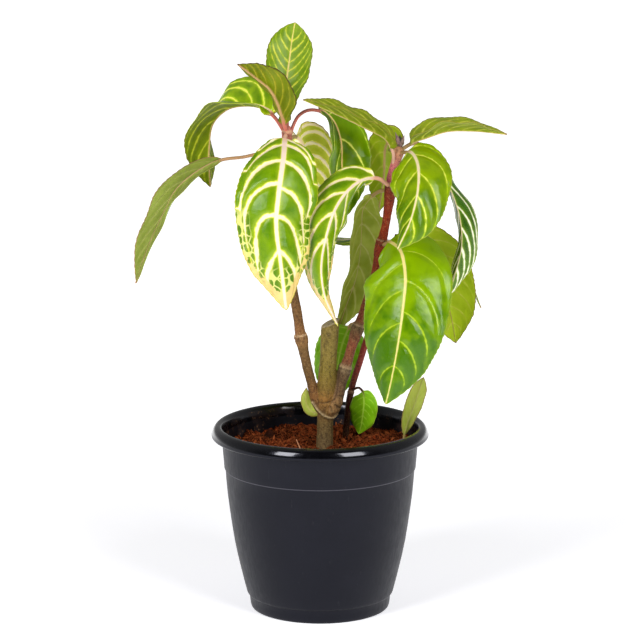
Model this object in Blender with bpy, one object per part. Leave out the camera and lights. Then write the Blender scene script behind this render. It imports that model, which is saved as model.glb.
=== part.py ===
"""Potted zebra plant: a black nursery pot of soil, a stumped trunk with two branches, and its leaves.

Metres, +Z up, the viewer on the -Y side. The origin is the centre of the pot's foot on the ground.
"""

import math

import bmesh
import bpy
import numpy as np
from mathutils import Matrix, Vector, noise

# Driving sizes
MM = 0.001
FLOOR_UNDER = 3.5 * MM
FLOOR_TOP = 6.0 * MM
DRAIN_RADIUS = 4.0 * MM
DRAIN_CIRCLE = 33 * MM
DRAIN_HOLES = 6
SOIL_TOP = 120.5 * MM
SOIL_BUMP = 2.6 * MM
SOIL_RINGS = (0.98, 0.86, 0.7, 0.52, 0.34, 0.16)  # shares of the surface's radius
MOUND = (40 * MM, 22 * MM, 3.2 * MM, 30 * MM)  # x, y, height, reach
DIP = (-37 * MM, 8 * MM, 5.0 * MM, 5.0 * MM)  # x, y, depth, reach
GAP = 0.3 * MM
HOLE_GAP = 0.36 * MM
STALK_HOLE_GAP = 0.6 * MM
SEAT_GAP = 0.4 * MM
BLADE = 0.8 * MM
RIB = 2.4 * MM
STALK_HALF = 1.5 * MM
ROUND_STEPS = 48
DRAIN_STEPS = 16
STEM_SIDES = 12
BUD_SIDES = 8
STALK_ROWS = 4
AWAY = (0.0, 1.0, 0.0)
DOWN_AWAY = (0.0, 0.8, -0.6)
UP = (0.0, 0.0, 1.0)

# The pot's wall, (radius, height) in mm: the outer side from the lip's crest down to the foot
POT_OUTSIDE = (
    (74.4, 137.7), (76.8, 137.0), (78.8, 135.0), (80.0, 130.8), (79.4, 129.2), (78.2, 129.6),
    (77.0, 132.6), (74.2, 132.6), (72.2, 127.0), (71.5, 117.0), (70.5, 105.9), (69.8, 105.1),
    (69.1, 95.5), (66.8, 75.0), (63.3, 51.5), (58.9, 31.0), (54.1, 11.6), (52.5, 10.3),
    (51.6, 3.4), (51.0, 1.0), (49.8, 0.0), (46.6, 0.0), (46.0, 3.5),
)
# The inner side from the floor up to the lip
POT_INSIDE = (
    (49.0, 6.0), (51.4, 8.6), (56.8, 31.5), (61.2, 51.8), (64.7, 75.2), (67.0, 95.5), (68.6, 106.5),
    (69.6, 118.0), (70.5, 128.5), (71.8, 134.6),
)

# Stems, (x, y, z, radius) in mm from the bottom up
STUMP = ((3.2, 0, 72, 6.8), (3.2, 0, 100, 6.6), (3.4, 0, 120, 6.3), (4.0, 0, 141, 6.0), (4.7, 0, 158, 7.0),
         (5.2, 0, 172, 6.7), (6.2, 0, 188, 6.1), (7.0, 0, 204, 6.6), (8.2, 0, 222, 6.3))
LEFT_BRANCH = ((4.0, 0, 147, 4.6), (-0.5, -0.6, 152, 4.4), (-3.6, -1, 158, 3.9), (-6.0, -1.5, 168, 3.5),
               (-9.0, -2, 180, 3.6), (-12.4, -2.8, 196, 3.9), (-13.6, -3, 202.5, 4.9),
               (-14.6, -3.2, 208, 4.0), (-17.0, -4, 224.5, 3.6), (-19.7, -4.5, 240, 3.4),
               (-22.5, -6, 284, 3.3), (-24.1, -7, 322, 3.3), (-24.2, -7.2, 335, 3.9), (-24.1, -7.5, 342, 3.3),
               (-23.8, -8, 354, 3.7), (-23.6, -8, 359, 3.3), (-23.5, -8, 361, 1.8))
RIGHT_BRANCH = ((5.0, 0, 144, 5.0), (10.0, -1.6, 152, 5.6), (13.2, -0.6, 161, 5.0), (15.6, 0.8, 170, 4.2),
                (18.2, 1.9, 178.5, 4.9), (20.2, 2.2, 185, 3.9), (24.0, 2.7, 198, 3.8), (27.6, 3, 209, 4.8),
                (30.0, 3.2, 215, 3.9), (34.0, 3.6, 227, 3.6), (42.0, 4.5, 257, 3.4), (44.6, 5, 272.5, 4.2),
                (46.4, 5, 279, 3.3), (49.4, 5, 296, 3.2), (51.6, 5, 314, 4.5), (53.0, 5, 322, 4.2),
                (55.6, 5, 334, 3.6), (57.6, 5, 342, 3.1), (58.0, 5, 343.6, 1.7))
THIN_STEM = ((17.6, 25, 84, 2.3), (18.4, 24.4, 110, 2.4), (19.4, 23.8, 128, 2.4), (22.4, 22, 155, 2.4),
             (31.8, 20, 188.5, 2.4), (41.2, 20, 221.5, 2.2), (50.6, 19, 255, 2.1), (54.4, 19, 269, 2.3),
             (57.0, 19, 276, 2.0))
STUMP_CUT = ((7.6, 0, 214.6), (-0.40, -0.10, 0.91))
KNOBS = (  # callus at the fork, knot under the cut, the small bud at a node: centre, radii in mm
    ((9.6, -3.4, 153.5), (5.6, 4.8, 6.2)),
    ((6.6, -4.6, 206.5), (2.6, 2.9, 3.4)),
    ((31.4, 1.6, 211.5), (2.2, 1.8, 3.2)),
    ((-16.6, -3.6, 204.0), (2.4, 1.8, 2.6)),
)
BUD_BASE = (58.2, 4.8, 345.4)
BUD_RADIUS = 1.5
BUD_LEAVES = (((54.2, 2.6, 355.0), 1.9, 1.1), ((61.4, 6.0, 352.0), 1.8, 1.0), ((58.0, 7.6, 352.6), 1.5, 1.0))
BUD_PROFILE = ((-0.05, 0.7), (0.3, 1.0), (0.6, 0.8), (1.0, 0.15))  # share of the way to the tip, radius in mm

# Leaves. path: midrib from the stem to the tip in mm. left, right: how far each half swings away
# from the viewer, in degrees, near the base, in the middle and near the tip. half: half width in mm.
# stalk: share of the path that is stalk. face: 1 when the upper side faces the viewer, else -1.
# head, tail: how blunt the blade is at each end. away: the way that leads from the viewer at this leaf.
LEAVES = {
    "leaf_left_front": dict(
        on="left", half=32, left=(22, 20, 22), right=(40, 42, 42), stalk=0.075, stations=14, phase=0.4,
        path=((-23.9, -9, 356), (-25, -21, 353.6), (-26, -40, 343), (-29, -54, 322), (-31, -61, 298),
              (-28, -65, 272), (-24, -66, 237))),
    "leaf_mid_front": dict(
        on="right", half=27, left=(52, 52, 62), right=(50, 68, 76), stalk=0.145, tail=0.8, stations=15,
        phase=1.1,
        path=((51.4, 3, 314), (41, -12, 323), (28, -27, 323), (19, -36, 317), (11, -44, 306), (5, -50, 289),
              (1, -53, 265), (3, -54, 247), (13, -55, 223))),
    "leaf_low_front": dict(
        on="right", half=35, left=(38, 32, 34), right=(15, 12, 20), stalk=0.095, head=0.34, tail=0.57,
        stations=14, phase=2.0, away=DOWN_AWAY,
        path=((45, 3, 272.6), (51, -14, 277), (58, -29, 273), (61, -40, 260), (59, -52, 233), (54, -58, 200),
              (48, -60, 171), (47, -60, 167))),
    "leaf_right_front": dict(
        on="right", half=25.5, left=(22, 50, 55), right=(12, 24, 26), stalk=0.11, head=0.36, phase=0.9,
        away=DOWN_AWAY,
        path=((57.2, 3.5, 340.5), (66, -12, 342), (70, -26, 336), (70, -40, 322), (65, -50, 301),
              (55, -55, 279))),
    "leaf_right_hanging": dict(
        on="right", half=21, left=(80, 85, 80), right=(80, 50, 40), stalk=0.275, stations=14, phase=0.2,
        path=((58, 5.4, 340.5), (69.5, 16, 344), (80, 20, 339), (88, 18, 327.5), (95, 12, 311), (101, 5, 294),
              (103, 0, 272), (98, -3, 250), (93, -4, 234))),
    "leaf_right_outer": dict(
        on="right", half=20, left=(-115, -117, -114), right=(62, 68, 72), stalk=0.1, tail=0.8, phase=1.7,
        path=((58, 4.8, 342.6), (67, 4, 348), (77, 6, 351), (92, 9, 355), (109, 11, 355), (136, 12, 352))),
    "leaf_left_top": dict(
        on="left", half=18.5, left=(32, 28, 25), right=(22, 22, 25), stalk=0.2, head=0.7, tail=0.5, phase=0.6,
        path=((-23.6, -7.4, 357.6), (-24, 2, 369), (-24, 8, 392), (-22, 12, 407), (-20, 14, 422),
              (-18, 14, 433))),
    "leaf_left_young": dict(
        on="left", half=16.5, left=(35, 30, 35), right=(75, 75, 72), stalk=0.12, face=-1, tail=0.75,
        phase=1.4,
        path=((-23.8, -8.6, 357), (-27, -15, 368), (-31, -18, 380), (-36, -20, 389), (-45, -22, 397),
              (-59, -24, 408))),
    "leaf_left_arch": dict(
        on="left", half=27, left=(15, 75, 113), right=(-93, -119, -163), stalk=0.16, stations=14, phase=0.3,
        path=((-24, -8, 355), (-31, 0, 365), (-39, 12, 370), (-54, 28, 371), (-69, 40, 366), (-79.5, 48, 354),
              (-82.5, 51, 334), (-81.5, 51, 306))),
    "leaf_left_low": dict(
        on="left", half=19.5, left=(74, 52, 42), right=(-86, -86, -84), stalk=0.33, face=-1, phase=2.2,
        path=((-24.2, -7.2, 334), (-38, 8, 337.5), (-56, 16, 333), (-72, 21, 330), (-90, 25.5, 320.5),
              (-105, 28.5, 307), (-114, 31, 290), (-124, 32, 269), (-136, 32, 237))),
    "leaf_right_inner": dict(
        on="right", half=17, left=(58, 64, 60), right=(-112, -116, -114), stalk=0.18, phase=0.8,
        path=((54.6, 4, 331), (54, -2, 341), (48.5, -8, 351.5), (33, -14, 361), (12, -18, 371.5),
              (-12, -20, 382))),
    "leaf_left_inner": dict(
        on="left", half=23, left=(-75, -68, -65), right=(75, 15, 20), stalk=0.3, phase=1.9,
        path=((-23, -7.4, 355.4), (-16, 0, 368), (-7, 9, 371), (3, 15, 368), (10, 20, 360), (15, 23, 346),
              (16, 25, 326), (19, 25, 288))),
    "leaf_left_rear": dict(
        on="left", half=22, left=(80, 50, 40), right=(20, 12, 15), stalk=0.2, face=-1, phase=0.1,
        path=((-23.6, -7.6, 349.5), (-18.5, 10, 351), (-13, 24, 343), (-10, 36, 326), (-7, 41, 307),
              (-4, 42, 289))),
    "leaf_right_rear": dict(
        on="right", half=13.5, left=(10, 10, 15), right=(30, 30, 30), stalk=0.08, face=-1, stations=10,
        phase=2.5,
        path=((57, 5.4, 339), (52, 20, 347), (48, 34, 339), (47, 44, 316), (43, 46, 287))),
    "leaf_mid_hanging": dict(
        on="right", half=20, left=(-70, -68, -60), right=(-10, -20, -30), stalk=0.16, face=-1,
        stations=14, phase=1.2,
        path=((51, 6, 312), (44, 16, 310), (37, 24, 304), (31, 30, 294), (30, 34, 278), (29, 36, 258),
              (25, 37, 236), (21, 36, 225), (13, 34, 201))),
    "leaf_low_rear": dict(
        on="thin", half=25, left=(-20, -30, -30), right=(-10, -10, -15), stalk=0.15, face=-1, phase=0.5,
        path=((56.8, 19.2, 275), (64.5, 25, 277), (72, 30.5, 273.5), (80, 35, 262), (88, 37.8, 243),
              (96, 38, 216),
              (101, 36, 191))),
    "leaf_behind_trunk": dict(
        on="right", half=19, left=(15, 15, 15), right=(10, 10, 10), stalk=0.28, stations=10, phase=1.0,
        path=((27.6, 3.6, 208), (24.5, 14, 209), (22, 24, 206), (18, 31, 196), (14, 36, 180), (11, 38, 161),
              (10, 38, 147))),
    "leaf_thin_tip": dict(
        on="thin", half=12, left=(80, 75, 80), right=(-85, -85, -80), stalk=0.2, stations=10, phase=0.7,
        path=((54.4, 19.4, 268.5), (58, 31, 271), (73, 46, 274), (94, 56, 260), (110, 58, 236),
              (120, 57, 213))),
    "leaf_low_hidden": dict(
        on="right", half=14, left=(-6, -6, -8), right=(-6, -6, -8), stalk=0.35, face=-1, stations=10,
        phase=0.0, away=UP,
        path=((44.6, 6, 271), (49, 18, 270.5), (51.5, 31, 270), (49, 45, 268), (38, 56, 266), (20, 60, 265),
              (0, 60, 264.5), (-24, 58.5, 257), (-43, 56.5, 244))),
    "leaf_small_front": dict(
        on="thin", half=10.5, left=(10, 10, 20), right=(10, 5, 10), stalk=0.27, stations=9, across=2,
        phase=0.3,
        path=((22.4, 21.8, 156.5), (25, 19, 159.5), (28.5, 17.3, 161.3), (31.6, 17, 158.5), (32.6, 17.6, 151),
              (32, 19.4, 142), (31, 21.5, 134), (29, 25, 124))),
    "leaf_small_left": dict(
        on="stump", half=4.5, left=(20, 20, 20), right=(20, 20, 20), stalk=0.12, stations=7, across=2,
        phase=0.3,
        path=((2, 2, 146), (-7, 8, 146), (-10, 10, 151), (-10, 11, 163))),
    "leaf_small_rim": dict(
        on="soil", half=6.8, left=(20, 20, 20), right=(10, 10, 10), stalk=0.2, head=0.7, tail=0.5, face=-1,
        stations=9, across=2, phase=1.3,
        path=((60.8, 8, 116), (62, 8, 126), (64.6, 8.4, 137), (69.6, 9, 151), (76.4, 10, 171))),
}
STATIONS = 13
ACROSS = 3
CROWDING = 0.8  # under 1, places across the blade lie closer towards its edge
TURNS_AT = (0.05, 0.5, 0.95)
FOLD_OVER = 0.03
TIP_OVER = 0.12
TIP_NARROWING = 0.4
POINT_OVER = 0.2
POINT_POWER = 0.3
CUP = 0.2  # rise of the blade between midrib and edge, as a share of its half width
WAVE = 0.05
WAVES = 3
WAVE_LAG = 0.7
SEATS = {"left": LEFT_BRANCH, "right": RIGHT_BRANCH, "thin": THIN_STEM, "stump": STUMP}

# Leaf colours by name, and the rest of the plant
GREEN = (0.10, 0.34, 0.03)
LIGHT_GREEN = (0.26, 0.50, 0.08)
OLIVE = (0.30, 0.38, 0.16)
LEAF_COLOURS = {
    "leaf_left_front": (0.34, 0.52, 0.12), "leaf_mid_front": (0.36, 0.52, 0.14), "leaf_low_front": GREEN,
    "leaf_right_front": (0.14, 0.38, 0.04), "leaf_right_hanging": (0.07, 0.24, 0.03),
    "leaf_right_outer": OLIVE, "leaf_left_top": LIGHT_GREEN, "leaf_left_young": (0.28, 0.34, 0.11),
    "leaf_left_arch": GREEN, "leaf_left_low": OLIVE, "leaf_right_inner": LIGHT_GREEN,
    "leaf_left_inner": (0.08, 0.26, 0.03), "leaf_left_rear": OLIVE, "leaf_right_rear": (0.45, 0.58, 0.16),
    "leaf_mid_hanging": (0.36, 0.44, 0.20), "leaf_low_rear": (0.42, 0.56, 0.14),
    "leaf_behind_trunk": (0.12, 0.30, 0.05), "leaf_thin_tip": OLIVE, "leaf_low_hidden": OLIVE,
    "leaf_small_front": (0.16, 0.44, 0.04), "leaf_small_left": LIGHT_GREEN,
    "leaf_small_rim": (0.40, 0.50, 0.18),
}
PLASTIC_BLACK = (0.012, 0.012, 0.013)
PEAT = (0.22, 0.075, 0.035)
BARK = (0.23, 0.20, 0.11)
RED_BROWN = (0.26, 0.09, 0.06)
PURPLE = (0.20, 0.13, 0.15)


# Scene and object helpers
def clear_scene():
    for obj in list(bpy.data.objects):
        bpy.data.objects.remove(obj)


def material(name, colour, roughness):
    made = bpy.data.materials.new(name)
    made.use_nodes = True
    shader = made.node_tree.nodes["Principled BSDF"]
    shader.inputs["Base Color"].default_value = (*colour, 1.0)
    shader.inputs["Roughness"].default_value = roughness
    made.diffuse_color = (*colour, 1.0)
    return made


def add_object(name, bm, colour=None, roughness=0.5):
    mesh = bpy.data.meshes.new(name)
    bm.to_mesh(mesh)
    bm.free()
    obj = bpy.data.objects.new(name, mesh)
    bpy.context.scene.collection.objects.link(obj)
    if colour is None:
        obj.hide_render = True
        obj.display_type = "WIRE"
    else:
        mesh.materials.append(material(name, colour, roughness))
    return obj


def boolean(obj, operation, other):
    made = obj.modifiers.new(operation.lower() + "_" + other.name, "BOOLEAN")
    made.operation = operation
    made.solver = "EXACT"
    made.object = other


# Curves through hand-placed points
def smooth_path(points, shares):
    """Points at these shares of the length of a smooth curve through the given points."""
    given = np.array(points, float)
    knots = np.concatenate([[0], np.cumsum(np.linalg.norm(np.diff(given[:, :3], axis=0), axis=1))])
    slopes = np.gradient(given, knots, axis=0)
    fine = np.linspace(0, knots[-1], 240)
    i = np.clip(np.searchsorted(knots, fine, side="right") - 1, 0, len(given) - 2)
    span = (knots[i + 1] - knots[i])[:, None]
    t = (fine - knots[i])[:, None] / span
    curve = ((2 * t**3 - 3 * t**2 + 1) * given[i] + (t**3 - 2 * t**2 + t) * span * slopes[i]
             + (3 * t**2 - 2 * t**3) * given[i + 1] + (t**3 - t**2) * span * slopes[i + 1])
    run = np.concatenate([[0], np.cumsum(np.linalg.norm(np.diff(curve[:, :3], axis=0), axis=1))])
    where = np.asarray(shares) * run[-1]
    return np.stack([np.interp(where, run, curve[:, k]) for k in range(given.shape[1])], axis=-1)


def lathe(bm, profile, steps=ROUND_STEPS):
    """Spins a closed profile of (radius, height) in metres round the Z axis."""
    corners = [bm.verts.new((radius, 0, height)) for radius, height in profile]
    edges = [bm.edges.new((a, b)) for a, b in zip(corners, corners[1:])]
    if profile[0][0] > 0:
        edges.append(bm.edges.new((corners[-1], corners[0])))
    bmesh.ops.spin(bm, geom=corners + edges, cent=(0, 0, 0), axis=(0, 0, 1), angle=math.tau, steps=steps,
                   use_merge=True)
    bmesh.ops.remove_doubles(bm, verts=bm.verts, dist=0.01 * MM)
    bmesh.ops.recalc_face_normals(bm, faces=bm.faces)


def lengthened(points, by):
    """The same points with both ends moved outwards."""
    for end, before in ((0, 1), (-1, -2)):
        way = points[end, :3] - points[before, :3]
        points[end, :3] += way / np.linalg.norm(way) * by
    return points


def tube(points, grow=0.0, sides=STEM_SIDES):
    """A round stem through (x, y, z, radius) points in mm, grown all round by this many metres."""
    bm = bmesh.new()
    points = lengthened(np.array(points, float), grow / MM)
    run = np.concatenate([[0], np.cumsum(np.linalg.norm(np.diff(points[:, :3], axis=0), axis=1))])
    shares = run / run[-1]
    stations = smooth_path(points, shares) * MM
    along = np.gradient(stations[:, :3], axis=0)
    rings = []
    for centre, direction in zip(stations, along):
        turn = Vector(direction).to_track_quat("Z", "X").to_matrix().to_4x4()
        ring = bmesh.ops.create_circle(bm, segments=sides, radius=centre[3] + grow,
                                       matrix=Matrix.Translation(centre[:3]) @ turn)
        rings.append(ring["verts"])
    for low, high in zip(rings, rings[1:]):
        edges = [e for e in bm.edges if len({*e.verts} & {*low}) == 2 or len({*e.verts} & {*high}) == 2]
        bmesh.ops.bridge_loops(bm, edges=edges)
    bm.faces.new(rings[0])
    bm.faces.new(rings[-1])
    bmesh.ops.recalc_face_normals(bm, faces=bm.faces)
    return bm


# The pot
def build_pot():
    outside = [(radius * MM, height * MM) for radius, height in POT_OUTSIDE]
    inside = [(radius * MM, height * MM) for radius, height in POT_INSIDE]
    bm = bmesh.new()
    lathe(bm, [(0, FLOOR_TOP), *inside, *outside, (0, FLOOR_UNDER)])
    pot = add_object("pot", bm, PLASTIC_BLACK, 0.35)
    bm = bmesh.new()
    for k in range(DRAIN_HOLES):
        turn = Matrix.Rotation(math.tau * (k + 0.5) / DRAIN_HOLES, 4, "Z")
        place = turn @ Matrix.Translation((DRAIN_CIRCLE, 0, FLOOR_TOP))
        bmesh.ops.create_cone(bm, cap_ends=True, segments=DRAIN_STEPS, radius1=DRAIN_RADIUS,
                              radius2=DRAIN_RADIUS, depth=4 * FLOOR_TOP, matrix=place)
    boolean(pot, "DIFFERENCE", add_object("drain_cutter", bm))


# The soil, a bumpy round block with plain holes for the stems
def swelling(x, y, at_x, at_y, height, reach):
    """The height at (x, y) of a round swelling."""
    return height * math.exp(-((x - at_x) ** 2 + (y - at_y) ** 2) / reach**2)


def soil_height(x, y):
    """How far the surface stands above its level line at this place."""
    coarse = noise.noise(Vector((x, y, 0)) * 55)
    fine = noise.noise(Vector((x, y, 1)) * 130)
    return swelling(x, y, *MOUND) - swelling(x, y, *DIP) + SOIL_BUMP * (coarse + 0.6 * fine)


def build_soil():
    sides = [(radius * MM - GAP, height * MM) for radius, height in POT_INSIDE if height * MM < SOIL_TOP]
    sides[0] = (sides[0][0], FLOOR_TOP + GAP)
    edge = sides[-1][0]
    top = [(edge * share, SOIL_TOP) for share in SOIL_RINGS]
    bm = bmesh.new()
    lathe(bm, [(0, FLOOR_TOP + GAP), *sides, *top, (0, SOIL_TOP)])
    for vert in bm.verts:
        if vert.co.z > SOIL_TOP - 0.1 * MM:
            vert.co.z += soil_height(vert.co.x, vert.co.y)
    soil = add_object("soil", bm, PEAT, 0.95)
    boolean(soil, "DIFFERENCE", add_object("stump_hole", tube(STUMP[:4], grow=HOLE_GAP)))
    boolean(soil, "DIFFERENCE", add_object("thin_hole", tube(THIN_STEM[:3], grow=HOLE_GAP)))
    first, second, third = (Vector(point) for point in LEAVES["leaf_small_rim"]["path"][:3])
    reach = math.hypot(STALK_HALF, RIB) / MM
    hole = [(*point, reach) for point in (first.lerp(second, -0.3), second, third)]
    boolean(soil, "DIFFERENCE", add_object("stalk_hole", tube(hole, grow=STALK_HOLE_GAP)))


# The trunk and its two branches, grown as one
def build_trunk():
    bm = tube(STUMP)
    point, normal = STUMP_CUT
    cut = bmesh.ops.bisect_plane(bm, geom=[*bm.verts, *bm.edges, *bm.faces], plane_co=Vector(point) * MM,
                                 plane_no=normal, clear_outer=True)
    bmesh.ops.holes_fill(bm, edges=[e for e in cut["geom_cut"] if isinstance(e, bmesh.types.BMEdge)])
    bmesh.ops.recalc_face_normals(bm, faces=bm.faces)
    trunk = add_object("trunk", bm, BARK, 0.8)
    boolean(trunk, "UNION", add_object("left_branch", tube(LEFT_BRANCH)))
    boolean(trunk, "UNION", add_object("right_branch", tube(RIGHT_BRANCH)))
    for k, (centre, radii) in enumerate(KNOBS):
        bm = bmesh.new()
        bmesh.ops.create_icosphere(bm, subdivisions=2, radius=MM)
        bmesh.ops.scale(bm, vec=radii, verts=bm.verts)
        bmesh.ops.translate(bm, vec=Vector(centre) * MM, verts=bm.verts)
        boolean(trunk, "UNION", add_object(f"knob_{k}", bm))


def build_thin_stem():
    add_object("thin_stem", tube(THIN_STEM), RED_BROWN, 0.6)


# The closed bud at the right branch's tip: three small folded leaves on one base
def build_bud():
    base = Vector(BUD_BASE)
    bm = bmesh.new()
    at_base = Matrix.Translation(base * MM)
    bmesh.ops.create_icosphere(bm, subdivisions=2, radius=BUD_RADIUS * MM, matrix=at_base)
    bud = add_object("bud", bm, PURPLE, 0.5)
    for k, (tip, wide, thick) in enumerate(BUD_LEAVES):
        tip = Vector(tip)
        bm = tube([(*base.lerp(tip, share), size) for share, size in BUD_PROFILE], sides=BUD_SIDES)
        turn = (tip - base).to_track_quat("Z", "X").to_matrix().to_4x4()
        place = at_base @ turn
        bmesh.ops.transform(bm, verts=bm.verts, matrix=place.inverted())
        bmesh.ops.scale(bm, vec=(wide, thick, 1), verts=bm.verts)
        bmesh.ops.transform(bm, verts=bm.verts, matrix=place)
        boolean(bud, "UNION", add_object(f"bud_leaf_{k}", bm))


# Leaves
def half_width(v, head, tail):
    """The blade's outline: 0 at both ends, 1 at its widest, drawn out to a point at the tip."""
    peak = head / (head + tail)
    v = np.clip(v, 0, 1)
    point = np.clip((1 - v) / POINT_OVER, 0, 1) ** POINT_POWER
    return (v / peak) ** head * ((1 - v) / (1 - peak)) ** tail * point


def leaf_stations(leaf):
    """Places along a leaf as shares of its path, and as shares of its blade, -1 on the stalk."""
    even = np.linspace(0, 1, leaf.get("stations", STATIONS) + 1)
    blade = 0.5 * even + 0.25 * (1 - np.cos(np.pi * even))
    stalk = leaf["stalk"]
    shares = np.concatenate([np.linspace(0, stalk, STALK_ROWS)[:-1], stalk + (1 - stalk) * blade])
    return shares, np.concatenate([np.full(STALK_ROWS - 1, -1.0), blade])


def leaf_turns(leaf, v):
    """At each station, how far both halves turn the same way round the midrib and how far they fold."""
    left, right = (np.radians(np.interp(v, TURNS_AT, leaf[side])) for side in ("left", "right"))
    fade = np.clip(v / FOLD_OVER, 0, 1) * np.clip((1 - v) / TIP_OVER, 0, 1)
    return (right - left) / 2, (right + left) / 2 * fade


def blade_grid(leaf):
    """Points of the upper side, [station along, place across], in metres, and each station's place."""
    across = leaf.get("across", ACROSS)
    shares, v = leaf_stations(leaf)
    rib = smooth_path(leaf["path"], shares) * MM
    along = np.gradient(rib, shares, axis=0)
    along /= np.linalg.norm(along, axis=1)[:, None]
    away = np.array(leaf.get("away", AWAY), float)
    back = away - (along @ away)[:, None] * along
    back /= np.linalg.norm(back, axis=1)[:, None]
    side_way = np.cross(along, back)
    outline = half_width(v, leaf.get("head", 0.45), leaf.get("tail", 0.62))
    half = np.where(v < 0, 0, leaf["half"] * MM * outline)
    half = np.maximum(half, STALK_HALF * (1 - TIP_NARROWING * np.clip(v, 0, 1)))
    twist, fold = leaf_turns(leaf, v)
    columns = {0: rib}
    for side in (-1, 1):
        angle = (side * twist + fold)[:, None]
        out = side * side_way * np.cos(angle) + back * np.sin(angle)
        up = -leaf.get("face", 1) * side * np.cross(out, along)
        ripple = np.sin(WAVES * math.tau * v + leaf["phase"] + (side > 0) * WAVE_LAG) * (v > 0)
        for k in range(1, across + 1):
            u = (k / across) ** CROWDING
            lift = half * (CUP * u * (1 - u) + WAVE * u * u * ripple)
            columns[side * k] = rib + out * (half * u)[:, None] + up * lift[:, None]
    return np.stack([columns[k] for k in range(-across, across + 1)], axis=1), v


def thickness_weights(obj, grid_places, v, across):
    """Full thickness on the stalk and at the midrib's base, the blade's own elsewhere."""
    group = obj.vertex_groups.new(name="thickness")
    thin = BLADE / RIB
    for index, (i, j) in enumerate(grid_places):
        if v[i] < 0:
            weight = 1.0
        elif j == across:
            weight = 1 - (1 - thin) * v[i]
        else:
            weight = thin
        group.add([index], weight, "REPLACE")


def build_leaf(name, leaf):
    grid, v = blade_grid(leaf)
    rows, columns = grid.shape[:2]
    bm = bmesh.new()
    bmesh.ops.create_grid(bm, x_segments=rows - 1, y_segments=columns - 1, size=1)
    places = [(round((vert.co.x + 1) / 2 * (rows - 1)), round((vert.co.y + 1) / 2 * (columns - 1)))
              for vert in bm.verts]
    for vert, (i, j) in zip(bm.verts, places):
        vert.co = grid[i, j]
    if leaf.get("face", 1) < 0:
        bmesh.ops.reverse_faces(bm, faces=bm.faces)
    bmesh.ops.triangulate(bm, faces=bm.faces, quad_method="SHORT_EDGE")
    obj = add_object(name, bm, LEAF_COLOURS[name], 0.45)
    thickness_weights(obj, places, v, columns // 2)
    solidify = obj.modifiers.new("thickness", "SOLIDIFY")
    solidify.thickness = RIB
    solidify.offset = -1
    solidify.vertex_group = "thickness"
    if leaf["on"] in SEATS:
        boolean(obj, "DIFFERENCE", bpy.data.objects[leaf["on"] + "_clearance"])


def build_leaves():
    for name, points in SEATS.items():
        add_object(name + "_clearance", tube(points, grow=SEAT_GAP))
    for name, leaf in LEAVES.items():
        build_leaf(name, leaf)


def build():
    clear_scene()
    build_pot()
    build_soil()
    build_trunk()
    build_thin_stem()
    build_bud()
    build_leaves()


build()
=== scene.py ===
"""Potted zebra plant: finer leaves, stems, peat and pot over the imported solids, with their finishes.

Metres, +Z up, the viewer on the -Y side. Tables of places on the plant are in millimetres, and colours are
written as hexadecimal red, green and blue, as a picture editor shows them.
"""

import math

import bmesh
import bpy
import numpy as np
from bpy.props import FloatProperty, FloatVectorProperty, IntProperty, PointerProperty
from mathutils import Matrix, Vector, noise


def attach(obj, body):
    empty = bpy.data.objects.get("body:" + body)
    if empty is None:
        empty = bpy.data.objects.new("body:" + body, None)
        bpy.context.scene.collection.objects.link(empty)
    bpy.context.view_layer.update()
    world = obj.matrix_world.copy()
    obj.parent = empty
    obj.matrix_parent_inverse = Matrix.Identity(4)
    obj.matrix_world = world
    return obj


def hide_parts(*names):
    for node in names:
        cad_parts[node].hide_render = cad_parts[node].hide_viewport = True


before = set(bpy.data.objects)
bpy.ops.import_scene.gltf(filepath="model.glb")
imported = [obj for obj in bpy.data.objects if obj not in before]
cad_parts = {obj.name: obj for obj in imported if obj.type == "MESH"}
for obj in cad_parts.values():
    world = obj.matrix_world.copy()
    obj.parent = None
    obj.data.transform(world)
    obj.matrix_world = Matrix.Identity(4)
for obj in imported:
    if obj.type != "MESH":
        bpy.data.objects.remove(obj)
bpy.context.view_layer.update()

bl_info = {
    "name": "Potted Zebra Plant",
    "version": (1, 0, 0),
    "blender": (4, 5, 0),
    "location": "View3D > Sidebar > Zebra Plant",
    "description": "Builds a potted zebra plant piece by piece around its packed solids",
    "category": "Add Mesh",
}

MM = 0.001

# The pot's wall, (radius, height) in mm: the outer side from the lip's crest down to the foot, then the
# inner side from the floor up
POT_OUTSIDE = (
    (73.2, 137.3), (74.4, 137.7), (75.8, 137.6), (77.1, 136.9), (78.2, 135.8), (79.0, 134.4), (79.6, 132.7),
    (80.0, 130.8), (79.9, 129.9), (79.4, 129.3), (78.8, 129.2), (78.2, 129.6), (77.7, 131.0), (77.0, 132.2),
    (75.9, 132.9), (74.8, 132.7), (73.6, 131.0), (72.6, 128.4), (72.1, 125.6), (71.8, 121.5), (71.4, 116.0),
    (70.9, 110.4), (70.6, 106.2), (70.4, 105.7), (69.9, 105.4), (69.7, 104.9), (69.2, 97.0), (68.2, 86.0),
    (66.8, 75.0), (65.2, 63.6), (63.3, 51.5), (61.2, 41.0), (58.9, 31.0), (56.5, 21.0), (54.3, 12.4),
    (53.9, 11.4), (53.3, 10.8), (52.7, 10.5), (52.4, 9.9), (51.9, 5.6), (51.5, 2.6), (51.1, 1.2),
    (50.5, 0.4), (49.6, 0.0), (46.8, 0.0), (46.2, 0.5), (46.0, 3.4))
POT_INSIDE = (
    (48.6, 6.0), (50.4, 6.9), (51.4, 8.6), (54.0, 19.0), (56.8, 31.5), (59.2, 42.0), (61.2, 51.8),
    (63.1, 63.5), (64.7, 75.2), (66.0, 85.0), (67.0, 95.5), (68.2, 105.0), (68.8, 107.5), (69.3, 113.0),
    (69.7, 119.0), (70.3, 126.0), (70.9, 131.0), (71.6, 134.4), (72.3, 136.3))
FLOOR_UNDER = 3.5
FLOOR_TOP = 6.0
DRAIN_RADIUS = 4.0
DRAIN_CIRCLE = 33.0
DRAIN_HOLES = 6
LIP_FROM = 128.6
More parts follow.
